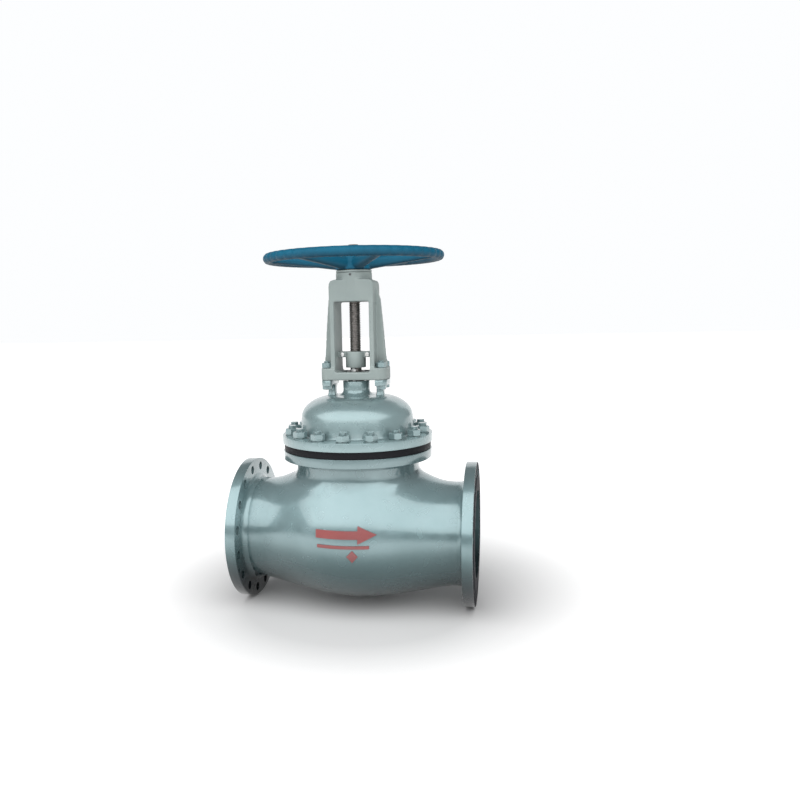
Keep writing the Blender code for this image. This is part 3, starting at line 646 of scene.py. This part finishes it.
def cube_sphere(count):
    """Directions on a cube's faces, and the quads between them."""
    steps = np.tan(np.linspace(-math.pi / 4, math.pi / 4, count + 1))
    u, v = np.meshgrid(steps, steps, indexing="ij")
    one = np.ones_like(u)
    points, quads = [], []
    for axis in range(3):
        for sign in (-1, 1):
            grid = [None, None, None]
            grid[axis] = sign * one
            grid[(axis + 1) % 3] = u
            grid[(axis + 2) % 3] = v
            start = len(points) * (count + 1) ** 2
            points.append(np.stack(grid, -1).reshape(-1, 3))
            index = start + np.arange((count + 1) ** 2).reshape(count + 1, count + 1)
            quads.append(np.stack([index[:-1, :-1], index[1:, :-1], index[1:, 1:],
                                   index[:-1, 1:]], -1).reshape(-1, 4))
    directions = np.concatenate(points)
    directions /= np.linalg.norm(directions, axis=1)[:, None]
    return directions, np.concatenate(quads)


def casting_core():
    """The casting without its flanges. Every ray from the middle leaves it once, so each
    point is found by halving along its ray."""
    directions, quads = cube_sphere(88)
    near = np.full(len(directions), 0.05)
    far = np.full(len(directions), 0.80)
    for _ in range(34):
        middle = (near + far) / 2
        inside = casting_field(directions * middle[:, None]) < 0
        near = np.where(inside, middle, near)
        far = np.where(inside, far, middle)
    mesh = bpy.data.meshes.new("casting_core")
    mesh.from_pydata((directions * near[:, None]).tolist(), [], quads.tolist())
    return outward(mesh)


def pipe_flange(angle):
    """A pipe flange with the fillet that runs into the casting."""
    back = FACE_X - PIPE_FLANGE_T
    front = FACE_X - RAISED_FACE_T
    r = BODY_END_R
    fillet = [(r - 0.013, back - 0.034), (r + 0.0004, back - 0.026), (r + 0.002, back - 0.018),
              (r + 0.0055, back - 0.010), (r + 0.011, back - 0.0045), (r + 0.019, back - 0.0012)]
    flange = eased([(r + 0.026, back), (PIPE_FLANGE_R, back), (PIPE_FLANGE_R, front),
                    (RAISED_FACE_R, front), (RAISED_FACE_R, FACE_X), (0, FACE_X)], 0.0022)
    mesh = turn("pipe_flange", [(0, back - 0.034)] + fillet + flange, 160)
    return moved(mesh, turned(angle) @ ALONG_X)


def body_ring():
    """The flange under the bonnet, with its fillet down to the neck."""
    bottom = RING_TOP - RING_T
    profile = [(0, bottom - 0.030), (NECK_R - 0.012, bottom - 0.030),
               (NECK_R + 0.0006, bottom - 0.020), (NECK_R + 0.002, bottom - 0.013),
               (NECK_R + 0.0055, bottom - 0.0065), (NECK_R + 0.0115, bottom - 0.002)]
    top = eased([(NECK_R + 0.018, bottom), (RING_R, bottom), (RING_R, RING_TOP), (0, RING_TOP)],
                0.0030)
    return turn("body_ring", profile + top, 160)


def loft(name, sections, sides):
    """Skin sections (x, half_width, up, down) along X."""
    rings = []
    for x, half_width, up, down in sections:
        ring = []
        for angle in around(sides):
            rise = math.sin(angle)
            ring.append((x, half_width * math.cos(angle), rise * (up if rise > 0 else down)))
        rings.append(ring)
    return rings_mesh(name, rings)


def chamber():
    """The hollow: the loft between the bores and the neck's bore, less the S-shaped bridge."""
    sections = [(FACE_X + 0.01, BORE_R, BORE_R, BORE_R)]
    for x in np.linspace(BULGE_HALF, -BULGE_HALF, 25):
        reaches = [max(BORE_R, float(reach) - WALL_T) for reach in belly(x)]
        sections.append((float(x), *reaches))
    sections.append((-FACE_X - 0.01, BORE_R, BORE_R, BORE_R))
    hollow = loft("chamber", sections, 72)
    bore = turn("neck_bore", [(0, 0), (NECK_BORE_R, 0), (NECK_BORE_R, RING_TOP + 0.01),
                              (0, RING_TOP + 0.01)], 96)
    slope_x, seat_x, reach, half_t = 0.345, 0.250, 0.300, BRIDGE_T / 2
    lean = half_t * math.hypot(slope_x - seat_x, reach) / reach
    corner = half_t * (slope_x - seat_x) / reach
    upper = [(-slope_x + lean, reach), (-seat_x + lean - corner, half_t),
             (seat_x + lean - corner, half_t), (slope_x + lean, -reach)]
    lower = [(-x, -z) for x, z in upper]
    outline = eased(upper + lower, 0.030, 4, closed=True)
    bridge = upright("bridge", outline, BELLY_HALF_WIDTH + 0.05)
    return combined(hollow, [("UNION", bore), ("DIFFERENCE", bridge)])


def hole(radius, z0, z1, matrix=Matrix.Identity(4), sides=32):
    return moved(turn("hole", [(0, z0), (radius, z0), (radius, z1), (0, z1)], sides), matrix)


def stud_holes(radius, z0, z1):
    return [hole(radius, z0, z1, spot, 24) for spot in bolt_circle(BOLTS, STUD_CIRCLE_R)]


def yoke_bolt_spots():
    return [(x, y) for x in (-YOKE_BOLT_X, YOKE_BOLT_X) for y in (-YOKE_BOLT_Y, YOKE_BOLT_Y)]


def yoke_bolt_holes(z0, z1):
    return [hole(YOKE_BOLT_HOLE_R, z0, z1, shift(x, y, 0)) for x, y in yoke_bolt_spots()]


def make_body():
    holes = []
    for side in (-1, 1):
        middle = side * (FACE_X - PIPE_FLANGE_T / 2)
        for spot in bolt_circle(BOLTS, PIPE_BOLT_CIRCLE_R, math.pi / BOLTS):
            holes.append(hole(PIPE_BOLT_HOLE_R, -0.05, 0.05, ALONG_X @ shift(0, 0, middle) @ spot))
    holes += stud_holes(STUD_R + 0.0005, STUD_LOW - GAP, RING_TOP + 0.01)
    holes.append(hole(SEAT_RING_R + GAP, -0.05, 0.05, sides=96))
    flanges = joined("flanges", [pipe_flange(math.pi), pipe_flange(0), body_ring()])
    mesh = combined(casting_core(), [("UNION", flanges), ("DIFFERENCE", chamber()),
                                     without(holes)])
    face_flanges(place("body_casting", mesh, CASTING_PAINT, "valve", ["valve_body"]))


def face_flanges(body):
    """Near-black outer faces on the pipe flanges: greased metal, made darker as painted shade."""
    body.data.materials.append(FACING)
    edge = FACE_X - RAISED_FACE_T
    for face in body.data.polygons:
        x = abs(face.center.x)
        off_axis = math.hypot(face.center.y, face.center.z)
        if x > edge - 0.0010 and BORE_R < off_axis < PIPE_FLANGE_R - 0.003:
            face.material_index = 1


# -------- the raised flow mark


def front_y(x, z, proud):
    """A point on the casting's front, as seen along +Y."""
    half_width, up, down = belly(np.array(x))
    reach = up if z > 0 else down
    return -float(half_width) * math.sqrt(max(0.0, 1 - (z / float(reach)) ** 2)) - proud


def raise_mark(name, outline, proud):
    """A flat outline of (x, z) points, cast proud of the body's front and following it."""
    step = 0.010
    work = bmesh.new()
    work.faces.new([work.verts.new((x, 0, z)) for x, z in outline])
    bmesh.ops.triangulate(work, faces=work.faces)
    across = [(x, Vector((1, 0, 0))) for x in np.arange(-0.30, 0.30, step)]
    along = [(z, Vector((0, 0, 1))) for z in np.arange(-0.10, 0.12, step)]
    for cut, normal in across + along:
        geom = work.verts[:] + work.edges[:] + work.faces[:]
        bmesh.ops.bisect_plane(work, geom=geom, plane_co=normal * cut, plane_no=normal)
    raised = bmesh.ops.extrude_face_region(work, geom=work.faces[:])
    fronts = {v for v in raised["geom"] if isinstance(v, bmesh.types.BMVert)}
    for vert in work.verts:
        vert.co.y = front_y(vert.co.x, vert.co.z, proud if vert in fronts else -0.004)
    bmesh.ops.recalc_face_normals(work, faces=work.faces)
    mesh = bpy.data.meshes.new(name)
    work.to_mesh(mesh)
    work.free()
    place(name, bevelled(mesh, 0.0016), MARK_PAINT, "valve")


def make_mark():
    """A plain flow arrow over a bar and a lozenge, picked out in red."""
    left, right, middle = -0.117, 0.146, 0.080
    shaft, head_x, head = 0.017, 0.078, 0.038
    arrow = [(left, middle - shaft), (right - head_x, middle - shaft),
             (right - head_x, middle - head), (right, middle), (right - head_x, middle + head),
             (right - head_x, middle + shaft), (left, middle + shaft)]
    bar = [(left + 0.006, 0.021), (right - 0.030, 0.021), (right - 0.030, 0.034),
           (left + 0.006, 0.034)]
    raise_mark("flow_arrow", arrow, 0.006)
    raise_mark("flow_bar", bar, 0.005)
    raise_mark("flow_lozenge", [(0.044, -0.040), (0.068, -0.012), (0.044, 0.014),
                                (0.020, -0.012)], 0.004)


# -------- bonnet and its joint


def bonnet_mesh():
    flange_top = BONNET_LOW + BONNET_FLANGE_T
    dome_low, dome_r, inner_r = 0.540, 0.257, 0.228
    shoulder, rise = 0.152, DOME_TOP - dome_low
    outside = eased([(0.232, BONNET_LOW), (BONNET_R, BONNET_LOW), (BONNET_R, flange_top),
                     (0.274, flange_top)], 0.0030)
    outside += [(0.2685, flange_top + 0.0015), (0.2645, flange_top + 0.005),
                (0.2625, flange_top + 0.011), (0.2612, 0.515)]
    for i in range(17):
        angle = 0.5 * math.pi * i / 16
        outside.append((dome_r - shoulder * (1 - math.cos(angle)),
                        dome_low + rise * math.sin(angle)))
    outside += [(0.086, DOME_TOP + 0.0005), (0.076, DOME_TOP + 0.003), (0.068, DOME_TOP + 0.008),
                (0.063, DOME_TOP + 0.015), (COLUMN_R, DOME_TOP + 0.024)]
    outside += eased([(COLUMN_R, DOME_TOP + 0.026), (COLUMN_R, COLUMN_TOP),
                      (PACKING_R, COLUMN_TOP), (PACKING_R, PACKING_LOW)], 0.0016, 2)
    outside += [(STEM_R + 0.002, PACKING_LOW), (STEM_R + 0.002, BACKSEAT_TOP + GAP),
                (0.0423, BACKSEAT_TOP + GAP), (0.0423, BACKSEAT_LOW - 0.002),
                (COLUMN_R, BACKSEAT_LOW - 0.002), (COLUMN_R, 0.606)]
    for i in range(12, -1, -1):
        angle = 0.5 * math.pi * i / 12
        outside.append((inner_r - 0.150 * (1 - math.cos(angle)), 0.530 + 0.078 * math.sin(angle)))
    return turn("bonnet", outside, 160)


def pad_mesh(side):
    corners = rounded_rectangle(PLATE_HALF_X, PLATE_HALF_Y, PLATE_CORNER_R)
    outer = sorted((p for p in corners if p[0] > PAD_INNER_X), key=lambda p: p[1])
    outline = [(PAD_INNER_X, -PLATE_HALF_Y)] + outer + [(PAD_INNER_X, PLATE_HALF_Y)]
    mesh = prism("pad", [(side * x, y) for x, y in outline], PAD_TOP - PAD_T, PAD_TOP)
    return bevelled(mesh, 0.0025)


def pillar_mesh(side):
    """The short post between the dome and a pad, flared at both ends."""
    rings = []
    for z, grow in ((DOME_TOP - 0.022, 0.012), (DOME_TOP - 0.004, 0.006), (DOME_TOP + 0.008, 0.001),
                    (DOME_TOP + 0.018, 0.0), (PAD_TOP - PAD_T - 0.014, 0.0),
                    (PAD_TOP - PAD_T - 0.006, 0.002), (PAD_TOP - PAD_T + 0.002, 0.006)):
        outline = rounded_rectangle(0.0165 + grow * 0.5, 0.022 + grow, 0.008, 4)
        rings.append([(side * (0.1125 + x), y, z) for x, y in outline])
    return rings_mesh("pillar", rings)


def make_bonnet():
    steps = [("UNION", part(side)) for side in (-1, 1) for part in (pillar_mesh, pad_mesh)]
    holes = yoke_bolt_holes(PAD_TOP - 0.05, PAD_TOP + 0.01)
    holes += [hole(GLAND_STUD_R + GAP, COLUMN_TOP - 0.0303, COLUMN_TOP + 0.01, shift(0, y, 0), 24)
              for y in gland_spots()]
    holes += stud_holes(STUD_HOLE_R, BONNET_LOW - 0.01, BONNET_LOW + BONNET_FLANGE_T + 0.01)
    mesh = combined(bonnet_mesh(), steps + [without(holes)])
    place("bonnet_casting", mesh, BODY_PAINT, "valve", ["bonnet"])


def make_gasket():
    """A thick ring whose rim is slightly crowned."""
    inner = 0.250
    middle = (GASKET_LOW + GASKET_TOP) / 2
    profile = eased([(inner, GASKET_LOW), (GASKET_R - 0.001, GASKET_LOW), (GASKET_R, middle),
                     (GASKET_R - 0.001, GASKET_TOP), (inner, GASKET_TOP)], 0.0020, closed=True)
    holes = stud_holes(STUD_HOLE_R, GASKET_LOW - 0.01, GASKET_TOP + 0.01)
    ring = combined(turn("gasket", profile, 160), [without(holes)])
    place("gasket_ring", ring, GASKET, "valve", ["bonnet_gasket"])


def make_bonnet_studs():
    """Each nut stands at its own angle, as it would after tightening."""
    draw = random.Random(4)
    nut_low = BONNET_LOW + BONNET_FLANGE_T + GAP
    nut_top = nut_low + 0.031
    washer_r, washer_top, nut_flat_r = 0.0315, nut_low + 0.0030, 0.0275
    rings = circles([(STUD_R - 0.0015, STUD_LOW), (STUD_R, STUD_LOW + 0.0015), (STUD_R, nut_low),
                     (washer_r, nut_low), (washer_r, washer_top)])
    rings += hex_rings(nut_flat_r, washer_top, nut_top, SMALL, "both")
    rings += circles([(STUD_R + 0.001, nut_top), (STUD_R, nut_top - 0.0008)])
    rings += thread_rings(STUD_R, 0.004, nut_top - 0.0007, STUD_TOP - 0.0015, SMALL, 0.0018)
    rings += circles([(STUD_R - 0.0018, STUD_TOP)])
    shared = rings_mesh("bonnet_fastener", rings)
    for i, spot in enumerate(bolt_circle(BOLTS, STUD_CIRCLE_R)):
        angle = draw.uniform(-math.pi / 6, math.pi / 6)
        place(f"bonnet_fastener_{i + 1:02d}", shared, BODY_PAINT, "valve",
              [f"bonnet_stud_{i + 1:02d}"], spot @ turned(angle))


# -------- gland


def gland_spots():
    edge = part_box("gland_stud_front")
    y = (edge[0].y + edge[1].y) / 2
    return (y, -y)


def make_gland():
    outline = [(0.041 * math.cos(a), 0.062 * math.sin(a)) for a in around(64)]
    plate = prism("follower", outline, FOLLOWER_LOW, FOLLOWER_TOP)
    holes = [hole(STEM_R + 0.003, 0.7, 0.8, sides=48)]
    holes += [hole(GLAND_STUD_R + 0.001, 0.7, 0.8, shift(0, y, 0), 24) for y in gland_spots()]
    plate = bevelled(combined(plate, [without(holes)]), 0.0016)
    place("gland_follower", plate, DARK_STEEL, "valve", ["gland_flange"])

    bush_low, bush_top = span("gland_bush")
    bush = turn("bush", [(STEM_R + 0.0006, bush_low), (PACKING_R - GAP, bush_low),
                         (PACKING_R - GAP, bush_top), (STEM_R + 0.0006, bush_top)], 64, 0.0008)
    place("gland_sleeve", bush, DARK_STEEL, "valve", ["gland_bush"])

    for label, y in zip(("front", "back"), gland_spots()):
        stud_low, stud_top = span(f"gland_stud_{label}")
        rings = circles([(0.006, stud_low), (GLAND_STUD_R, stud_low + 0.001)], 32)
        rings += thread_rings(GLAND_STUD_R, 0.002, stud_low + 0.0012, stud_top - 0.001, 32, 0.0009)
        rings += circles([(0.006, stud_top)], 32)
        place(f"gland_bolt_{label}", rings_mesh("stud", rings), ZINC, "valve",
              [f"gland_stud_{label}"], shift(0, y, 0))
        nut = nut_mesh("nut", 0.011, *span(f"gland_nut_{label}"), GLAND_STUD_R + GAP)
        place(f"gland_hex_{label}", nut, ZINC, "valve", [f"gland_nut_{label}"], shift(0, y, 0))


# -------- yoke


def mirrored_outline(right):
    return right + [(-x, z) for x, z in reversed(right)]


def make_yoke():
    web = mirrored_outline([(0.145, PLATE_TOP - 0.020), (0.144, 0.790), (0.139, 0.830),
                            (0.136, 0.870), (0.129, 0.957), (0.119, 1.069), (0.100, 1.130)])
    head = mirrored_outline([(0.101, WINDOW_TOP - 0.006), (0.101, 1.125), (0.099, 1.142),
                             (0.093, 1.152), (0.076, 1.158)])
    outer = WINDOW_HALF + LEG_T
    mesh = combined(upright("web", web, WEB_HALF_Y), [
        ("UNION", box_mesh("legs", (-outer, -LEG_HALF_Y, PLATE_TOP - 0.005),
                           (outer, LEG_HALF_Y, 1.120))),
        ("UNION", upright("head", head, LEG_HALF_Y)),
        ("UNION", turn("boss", [(0, WINDOW_TOP - 0.01), (COVER_R + 0.001, WINDOW_TOP - 0.01),
                                (COVER_R + 0.001, BOSS_TOP), (0, BOSS_TOP)], 96)),
        ("UNION", prism("plate", rounded_rectangle(PLATE_HALF_X, PLATE_HALF_Y, PLATE_CORNER_R),
                        PLATE_LOW, PLATE_TOP)),
        ("DIFFERENCE", box_mesh("window", (-WINDOW_HALF, -0.2, PLATE_FLOOR),
                                (WINDOW_HALF, 0.2, WINDOW_TOP)))])
    mesh = softened(mesh, 0.0032, 5)
    cuts = [hole(0.065, PLATE_LOW - 0.01, PLATE_TOP + 0.01, sides=96),
            turn("bearing_bore", [(0, 1.05), (0.046, 1.05), (0.046, BEARING_LOW),
                                  (BEARING_R, BEARING_LOW), (BEARING_R, BOSS_TOP + 0.01),
                                  (0, BOSS_TOP + 0.01)], 96),
            hole(0.0054, -0.095, -0.05, shift(0, 0, SCREW_Z) @ ALONG_Y, 24)]
    cuts += yoke_bolt_holes(PLATE_LOW - 0.01, PLATE_TOP + 0.01)
    place("yoke_casting", combined(mesh, [without(cuts)]), YOKE_PAINT, "valve", ["yoke"])


def make_yoke_fasteners():
    head_low, top = span("yoke_bolt_1")
    head_top = PAD_TOP - PAD_T - GAP
    nut_low, nut_top = span("yoke_nut_1")
    r = YOKE_BOLT_R
    rings = hex_rings(YOKE_NUT_FLAT_R, head_low, head_top, SMALL, "bottom")
    rings += circles([(r, head_top), (r, nut_top - 0.002)])
    rings += thread_rings(r, 0.003, nut_top - 0.0018, top - 0.0015, SMALL, 0.0013)
    rings += circles([(r - 0.0015, top)])
    bolt = rings_mesh("yoke_bolt", rings)
    nut = nut_mesh("yoke_nut", YOKE_NUT_FLAT_R, nut_low, nut_top, r + 0.0004, SMALL, "both")
    draw = random.Random(9)
    for i, (x, y) in enumerate(yoke_bolt_spots()):
        spin = turned(draw.uniform(-0.5, 0.5))
        place(f"yoke_screw_{i + 1}", bolt, BODY_PAINT, "valve", [f"yoke_bolt_{i + 1}"],
              shift(x, y, 0))
        place(f"yoke_hex_{i + 1}", nut, BODY_PAINT, "valve", [f"yoke_nut_{i + 1}"],
              shift(x, y, 0) @ spin)


def make_cover():
    spigot = low("bearing_cover").z
    bore = SLEEVE_R + 0.003
    seat = BOSS_TOP + GAP
    profile = [(bore, spigot), (BEARING_R - GAP, spigot), (BEARING_R - GAP, seat),
               (COVER_R, seat), (COVER_R, COVER_TOP), (bore, COVER_TOP)]
    place("cover_ring", turn("cover", profile, 96, 0.0022), YOKE_PAINT, "valve",
          ["bearing_cover"])
    face = -low("cover_set_screw").y
    screw = [(0, 0.0665), (0.005, 0.0665), (0.005, face), (0.0030, face), (0.0026, face - 0.0035),
             (0, face - 0.0035)]
    spin = shift(0, 0, SCREW_Z) @ ALONG_Y @ Matrix.Rotation(math.pi, 4, "X")
    place("cover_grub_screw", moved(turn("screw", screw, 24, 0.0004), spin), DARK_STEEL,
          "valve", ["cover_set_screw"])


# -------- handwheel


def rim_mesh():
    """The rim, with shallow finger waves round its outer side."""
    depth = 0.0034
    rings = []
    rim_r, half_h = RIM_R + 0.0010, RIM_HALF_H + 0.0015      # relaxing the mesh takes this off
    centre_r = WHEEL_R - RIM_R
    for angle in around(480):
        dip = depth * (0.5 + 0.5 * math.cos(FINGER_WAVES * angle)) ** 2
        ring = []
        for lift in around(24):
            share = 1 - dip / rim_r * max(0.0, math.cos(lift)) ** 0.7
            out = centre_r + rim_r * share * math.cos(lift)
            ring.append(polar(out, angle, RIM_Z + half_h * share * math.sin(lift)))
        rings.append(ring)
    return rings_mesh("rim", rings, True)


def spoke_mesh(angle):
    """A dished spoke with an oval section, widest where it leaves the hub."""
    stations = [(0.055, 1.2290, 0.032, 0.0265), (0.085, 1.2305, 0.0285, 0.0260),
                (0.120, 1.2345, 0.0260, 0.0255), (0.175, 1.2395, 0.0235, 0.0225),
                (0.230, 1.2440, 0.0215, 0.0195), (0.300, 1.2500, 0.0202, 0.0165),
                (0.350, 1.2540, 0.0205, 0.0145), (0.374, RIM_Z, 0.0225, 0.0150)]
    rings = []
    for x, z, half_w, half_t in stations:
        ring = []
        for lift in around(28):
            c, s = math.cos(lift), math.sin(lift)
            ring.append((x, half_w * math.copysign(abs(c) ** 0.75, c),
                         z + half_t * math.copysign(abs(s) ** 0.75, s)))
        rings.append(ring)
    return moved(rings_mesh("spoke", rings), turned(angle))


def make_handwheel():
    hub = turn("hub", [(0, HUB_LOW), (0.081, HUB_LOW), (0.081, HUB_LOW + 0.004), (0.074, 1.232),
                       (0.066, 1.262), (0.060, HUB_TOP), (0, HUB_TOP)], 96, 0.004)
    steps = [("UNION", hub)]
    steps += [("UNION", spoke_mesh(angle)) for angle in around(SPOKES)]
    steps.append(without([hole(SLEEVE_R + GAP, HUB_LOW - 0.01, HUB_TOP + 0.01, sides=64)]))
    mesh = softened(combined(rim_mesh(), steps), 0.0034, 4)
    place("handwheel_casting", mesh, WHEEL_PAINT, "wheel", ["handwheel"])

    nut = nut_mesh("nut", 0.050, WHEEL_NUT_LOW, WHEEL_NUT_TOP, 0.0345, 72)
    place("handwheel_hex", nut, ZINC, "wheel", ["handwheel_nut"])

    flange_low = BEARING_LOW + 0.022 + 2 * GAP
    flange_top = flange_low + 0.026
    bore = STEM_R + 0.0004
    profile = [(bore, SLEEVE_LOW), (SLEEVE_R, SLEEVE_LOW), (SLEEVE_R, flange_low),
               (0.062, flange_low), (0.062, flange_top), (SLEEVE_R, flange_top),
               (SLEEVE_R, HUB_TOP - 0.002), (0.034, HUB_TOP - 0.002), (0.034, SLEEVE_TOP),
               (bore + 0.002, SLEEVE_TOP), (bore, SLEEVE_TOP - 0.002)]
    place("threaded_sleeve", turn("sleeve", profile, 72, 0.0008, 2), BRONZE, "wheel", ["stem_nut"])
    key = bevelled(box_mesh("key", *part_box("handwheel_key")), 0.0006)
    place("wheel_key", key, TURNED, "wheel", ["handwheel_key"])


# -------- stem, guide and disc


def make_stem():
    """Left-hand thread above the packing, a plain ground length below it."""
    collar = BACKSEAT_LOW - 0.111
    thread_low = GUIDE_LOW + 0.02
    rings = circles([(0.032, STEM_LOW), (0.034, STEM_LOW + 0.002), (0.034, STEM_LOW + 0.021),
                     (STEM_R, STEM_LOW + 0.026), (STEM_R, collar - 0.024),
                     (STEM_R + 0.007, collar - 0.016), (STEM_R + 0.007, collar),
                     (STEM_R, collar + 0.007), (STEM_R, thread_low - 0.001)])
    rings += thread_rings(STEM_R, THREAD_PITCH, thread_low, STEM_TOP - 0.004, SMALL, 0.0034, -1, 8)
    rings += circles([(STEM_R - 0.0036, STEM_TOP)])
    place("threaded_stem", rings_mesh("stem", rings), STEM_STEEL, "stem", ["stem"])


def make_guide():
    arm_low = 0.812
    bolt_x, bolt_z = 0.058, 0.825
    for label, side in (("front", -1), ("back", 1)):
        hub = hole(0.046, GUIDE_LOW, GUIDE_TOP, sides=64)
        arms = box_mesh("arms", (-GUIDE_HALF_X, -0.020, arm_low), (GUIDE_HALF_X, 0.020, GUIDE_TOP))
        low_y, high_y = sorted((-side * 0.1, side * 0.0008))
        cutter = box_mesh("cut", (-0.1, low_y, 0.7), (0.1, high_y, 0.9))
        holes = [hole(STEM_R + GAP, 0.7, 0.9, sides=48)]
        holes += [hole(GUIDE_BOLT_R + GAP, -0.05, 0.05, shift(x, 0, bolt_z) @ ALONG_Y, 24)
                  for x in (-bolt_x, bolt_x)]
        mesh = combined(hub, [("UNION", arms), ("DIFFERENCE", cutter), without(holes)])
        place(f"guide_clamp_{label}", bevelled(mesh, 0.0014), YOKE_PAINT, "stem",
              [f"stem_guide_{label}"])
    face = 0.0203
    r = GUIDE_BOLT_R
    for i, x in enumerate((-bolt_x, bolt_x)):
        rings = hex_rings(GUIDE_NUT_FLAT_R, -face - 0.008, -face, SMALL, "bottom")
        rings += circles([(r, -face), (r, face + 0.008)])
        rings += thread_rings(r, 0.00175, face + 0.0082, face + 0.013, SMALL, 0.0008)
        rings += circles([(r - 0.001, face + 0.014)])
        spot = shift(x, 0, bolt_z) @ ALONG_Y
        bolt = moved(rings_mesh("bolt", rings), spot)
        place(f"clamp_bolt_{i + 1}", bolt, ZINC, "stem", [f"guide_bolt_{i + 1}"])
        nut = moved(nut_mesh("nut", GUIDE_NUT_FLAT_R, face, face + 0.010, r + GAP), spot)
        place(f"clamp_nut_{i + 1}", nut, ZINC, "stem", [f"guide_nut_{i + 1}"])


def make_trim():
    """Seat ring, disc and disc nut, seen through the pipe ends."""
    lip = BRIDGE_T / 2 + GAP
    outer = high("seat_ring").x
    seat = [(SEAT_R, SEAT_LOW), (SEAT_RING_R, SEAT_LOW), (SEAT_RING_R, lip), (outer, lip),
            (outer, SEAT_TOP), (SEAT_R, SEAT_TOP)]
    place("seat", turn("seat", seat, ROUND, 0.0016), STAINLESS, "valve", ["seat_ring"])
    plate_low = DISC_LOW + 0.012
    top = plate_low + 0.040
    pocket_low, pocket_top = 0.071, 0.101
    disc = [(0, DISC_LOW), (SEAT_R - 0.014, DISC_LOW), (SEAT_R - 0.004, plate_low),
            (DISC_R - 0.003, plate_low), (DISC_R, plate_low + 0.003), (DISC_R, plate_low + 0.024),
            (DISC_R - 0.006, plate_low + 0.030), (0.085, top + 0.006), (0.068, top + 0.016),
            (0.064, top + 0.026), (0.064, DISC_TOP), (0.046, DISC_TOP), (0.046, pocket_top),
            (0.0355, pocket_top), (0.0355, pocket_low), (0, pocket_low)]
    place("plug", turn("disc", disc, ROUND, 0.0014), STAINLESS, "disc", ["disc"])
    nut_low, nut_top = span("disc_nut")
    shoulder, sides, bore = DISC_TOP + 0.002, 72, STEM_R + 0.001
    rings = circles([(bore, nut_low), (0.0457, nut_low), (0.0457, shoulder)], sides)
    rings += hex_rings(0.040, shoulder, nut_top, sides)
    rings += circles([(bore, nut_top)], sides)
    place("plug_nut", rings_mesh("plug_nut", rings, True), TURNED, "disc", ["disc_nut"])


def finish_hidden_nodes():
    """CAD nodes whose shape is right keep it and get a better material."""
    finishes = [("backseat_ring", STAINLESS), ("thrust_bearing_lower", STAINLESS),
                ("thrust_bearing_upper", STAINLESS)]
    finishes += [(f"packing_ring_{i + 1}", GRAPHITE) for i in range(4)]
    for node, material in finishes:
        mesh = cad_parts[node].data
        mesh.materials.clear()
        mesh.materials.append(material)


# -------- studio


def make_camera():
    data = bpy.data.cameras.new("camera")
    data.sensor_width = 36
    data.lens = 34.216
    data.shift_x = 0.0575
    data.shift_y = 0.0375
    data.clip_end = 60
    camera = add_object("camera", data)
    camera.location = (0.7305, -3.4053, 1.0028)
    camera.rotation_euler = [math.radians(a) for a in (81.37901, 1.33887, 12.17031)]
    bpy.context.scene.camera = camera


def make_bank():
    """One wide soft light, above and in front."""
    data = bpy.data.lights.new("bank", "AREA")
    data.shape = "RECTANGLE"
    data.size = 11.0
    data.size_y = 3.9
    data.energy = 235
    light = add_object("bank", data)
    light.location = (-0.2, -2.30, 2.05)
    aim = Vector((-0.2, -1.02, 0.0)) - light.location
    light.rotation_euler = aim.to_track_quat("-Z", "Y").to_euler()


def make_floor():
    """A pale sheet that glows white far behind the valve, so that it has no horizon."""
    floor_z = low("valve_body").z - 0.002
    points = [(x, y, floor_z) for x, y in ((-40, -40), (40, -40), (40, 40), (-40, 40))]
    mesh = bpy.data.meshes.new("floor")
    mesh.from_pydata(points, [], [(0, 1, 2, 3)])
    sheet = Surface("floor_sheet", (0.80, 0.80, 0.80), 0.75, specular=0.2)
    sheet.tint(sheet.spread(sheet.noise(1.2, 3), 0.4, 0.7, 0.0, 0.3), (0.76, 0.76, 0.765))
    sheet.shader.inputs["Emission Color"].default_value = (1, 1, 1, 1)
    away = sheet.spread(sheet.radius("Z"), 0.55, 1.6, 0.0, 0.9)
    sheet.link(away, sheet.shader.inputs["Emission Strength"])
    mesh.materials.append(sheet.material)
    floor = add_object("floor", mesh)


def make_world():
    """White behind the valve. Grey in front, overhead and to its right, so that the paint
    has something to reflect. The backdrop itself is white all round."""
    world = bpy.data.worlds.new("studio")
    world.use_nodes = True
    tree = world.node_tree
    background = tree.nodes["Background"]
    where = tree.nodes.new("ShaderNodeTexCoord")
    split = tree.nodes.new("ShaderNodeSeparateXYZ")
    tree.links.new(where.outputs["Generated"], split.inputs["Vector"])
    dark = 0.20
    level = None
    for axis, start, end in (("Y", 0.50, 0.70), ("Z", 0.62, 0.48), ("X", 0.55, 0.38)):
        blend = tree.nodes.new("ShaderNodeMapRange")
        blend.interpolation_type = "SMOOTHSTEP"
        blend.inputs["From Min"].default_value = start
        blend.inputs["From Max"].default_value = end
        blend.inputs["To Min"].default_value = dark
        tree.links.new(split.outputs[axis], blend.inputs["Value"])
        if level is not None:
            tree.links.new(level, blend.inputs["To Max"])
        level = blend.outputs["Result"]
    seen = tree.nodes.new("ShaderNodeMath")
    seen.operation = "MAXIMUM"
    tree.links.new(tree.nodes.new("ShaderNodeLightPath").outputs["Is Camera Ray"], seen.inputs[0])
    tree.links.new(level, seen.inputs[1])
    tree.links.new(seen.outputs["Value"], background.inputs["Strength"])
    background.inputs["Color"].default_value = (0.98, 0.99, 1.0, 1)
    bpy.context.scene.world = world


make_body()
make_mark()
make_bonnet()
make_gasket()
make_bonnet_studs()
make_gland()
make_yoke()
make_yoke_fasteners()
make_cover()
make_handwheel()
make_stem()
make_guide()
make_trim()
finish_hidden_nodes()
make_camera()
make_floor()
make_world()
make_bank()
bpy.context.scene.view_settings.view_transform = "Standard"
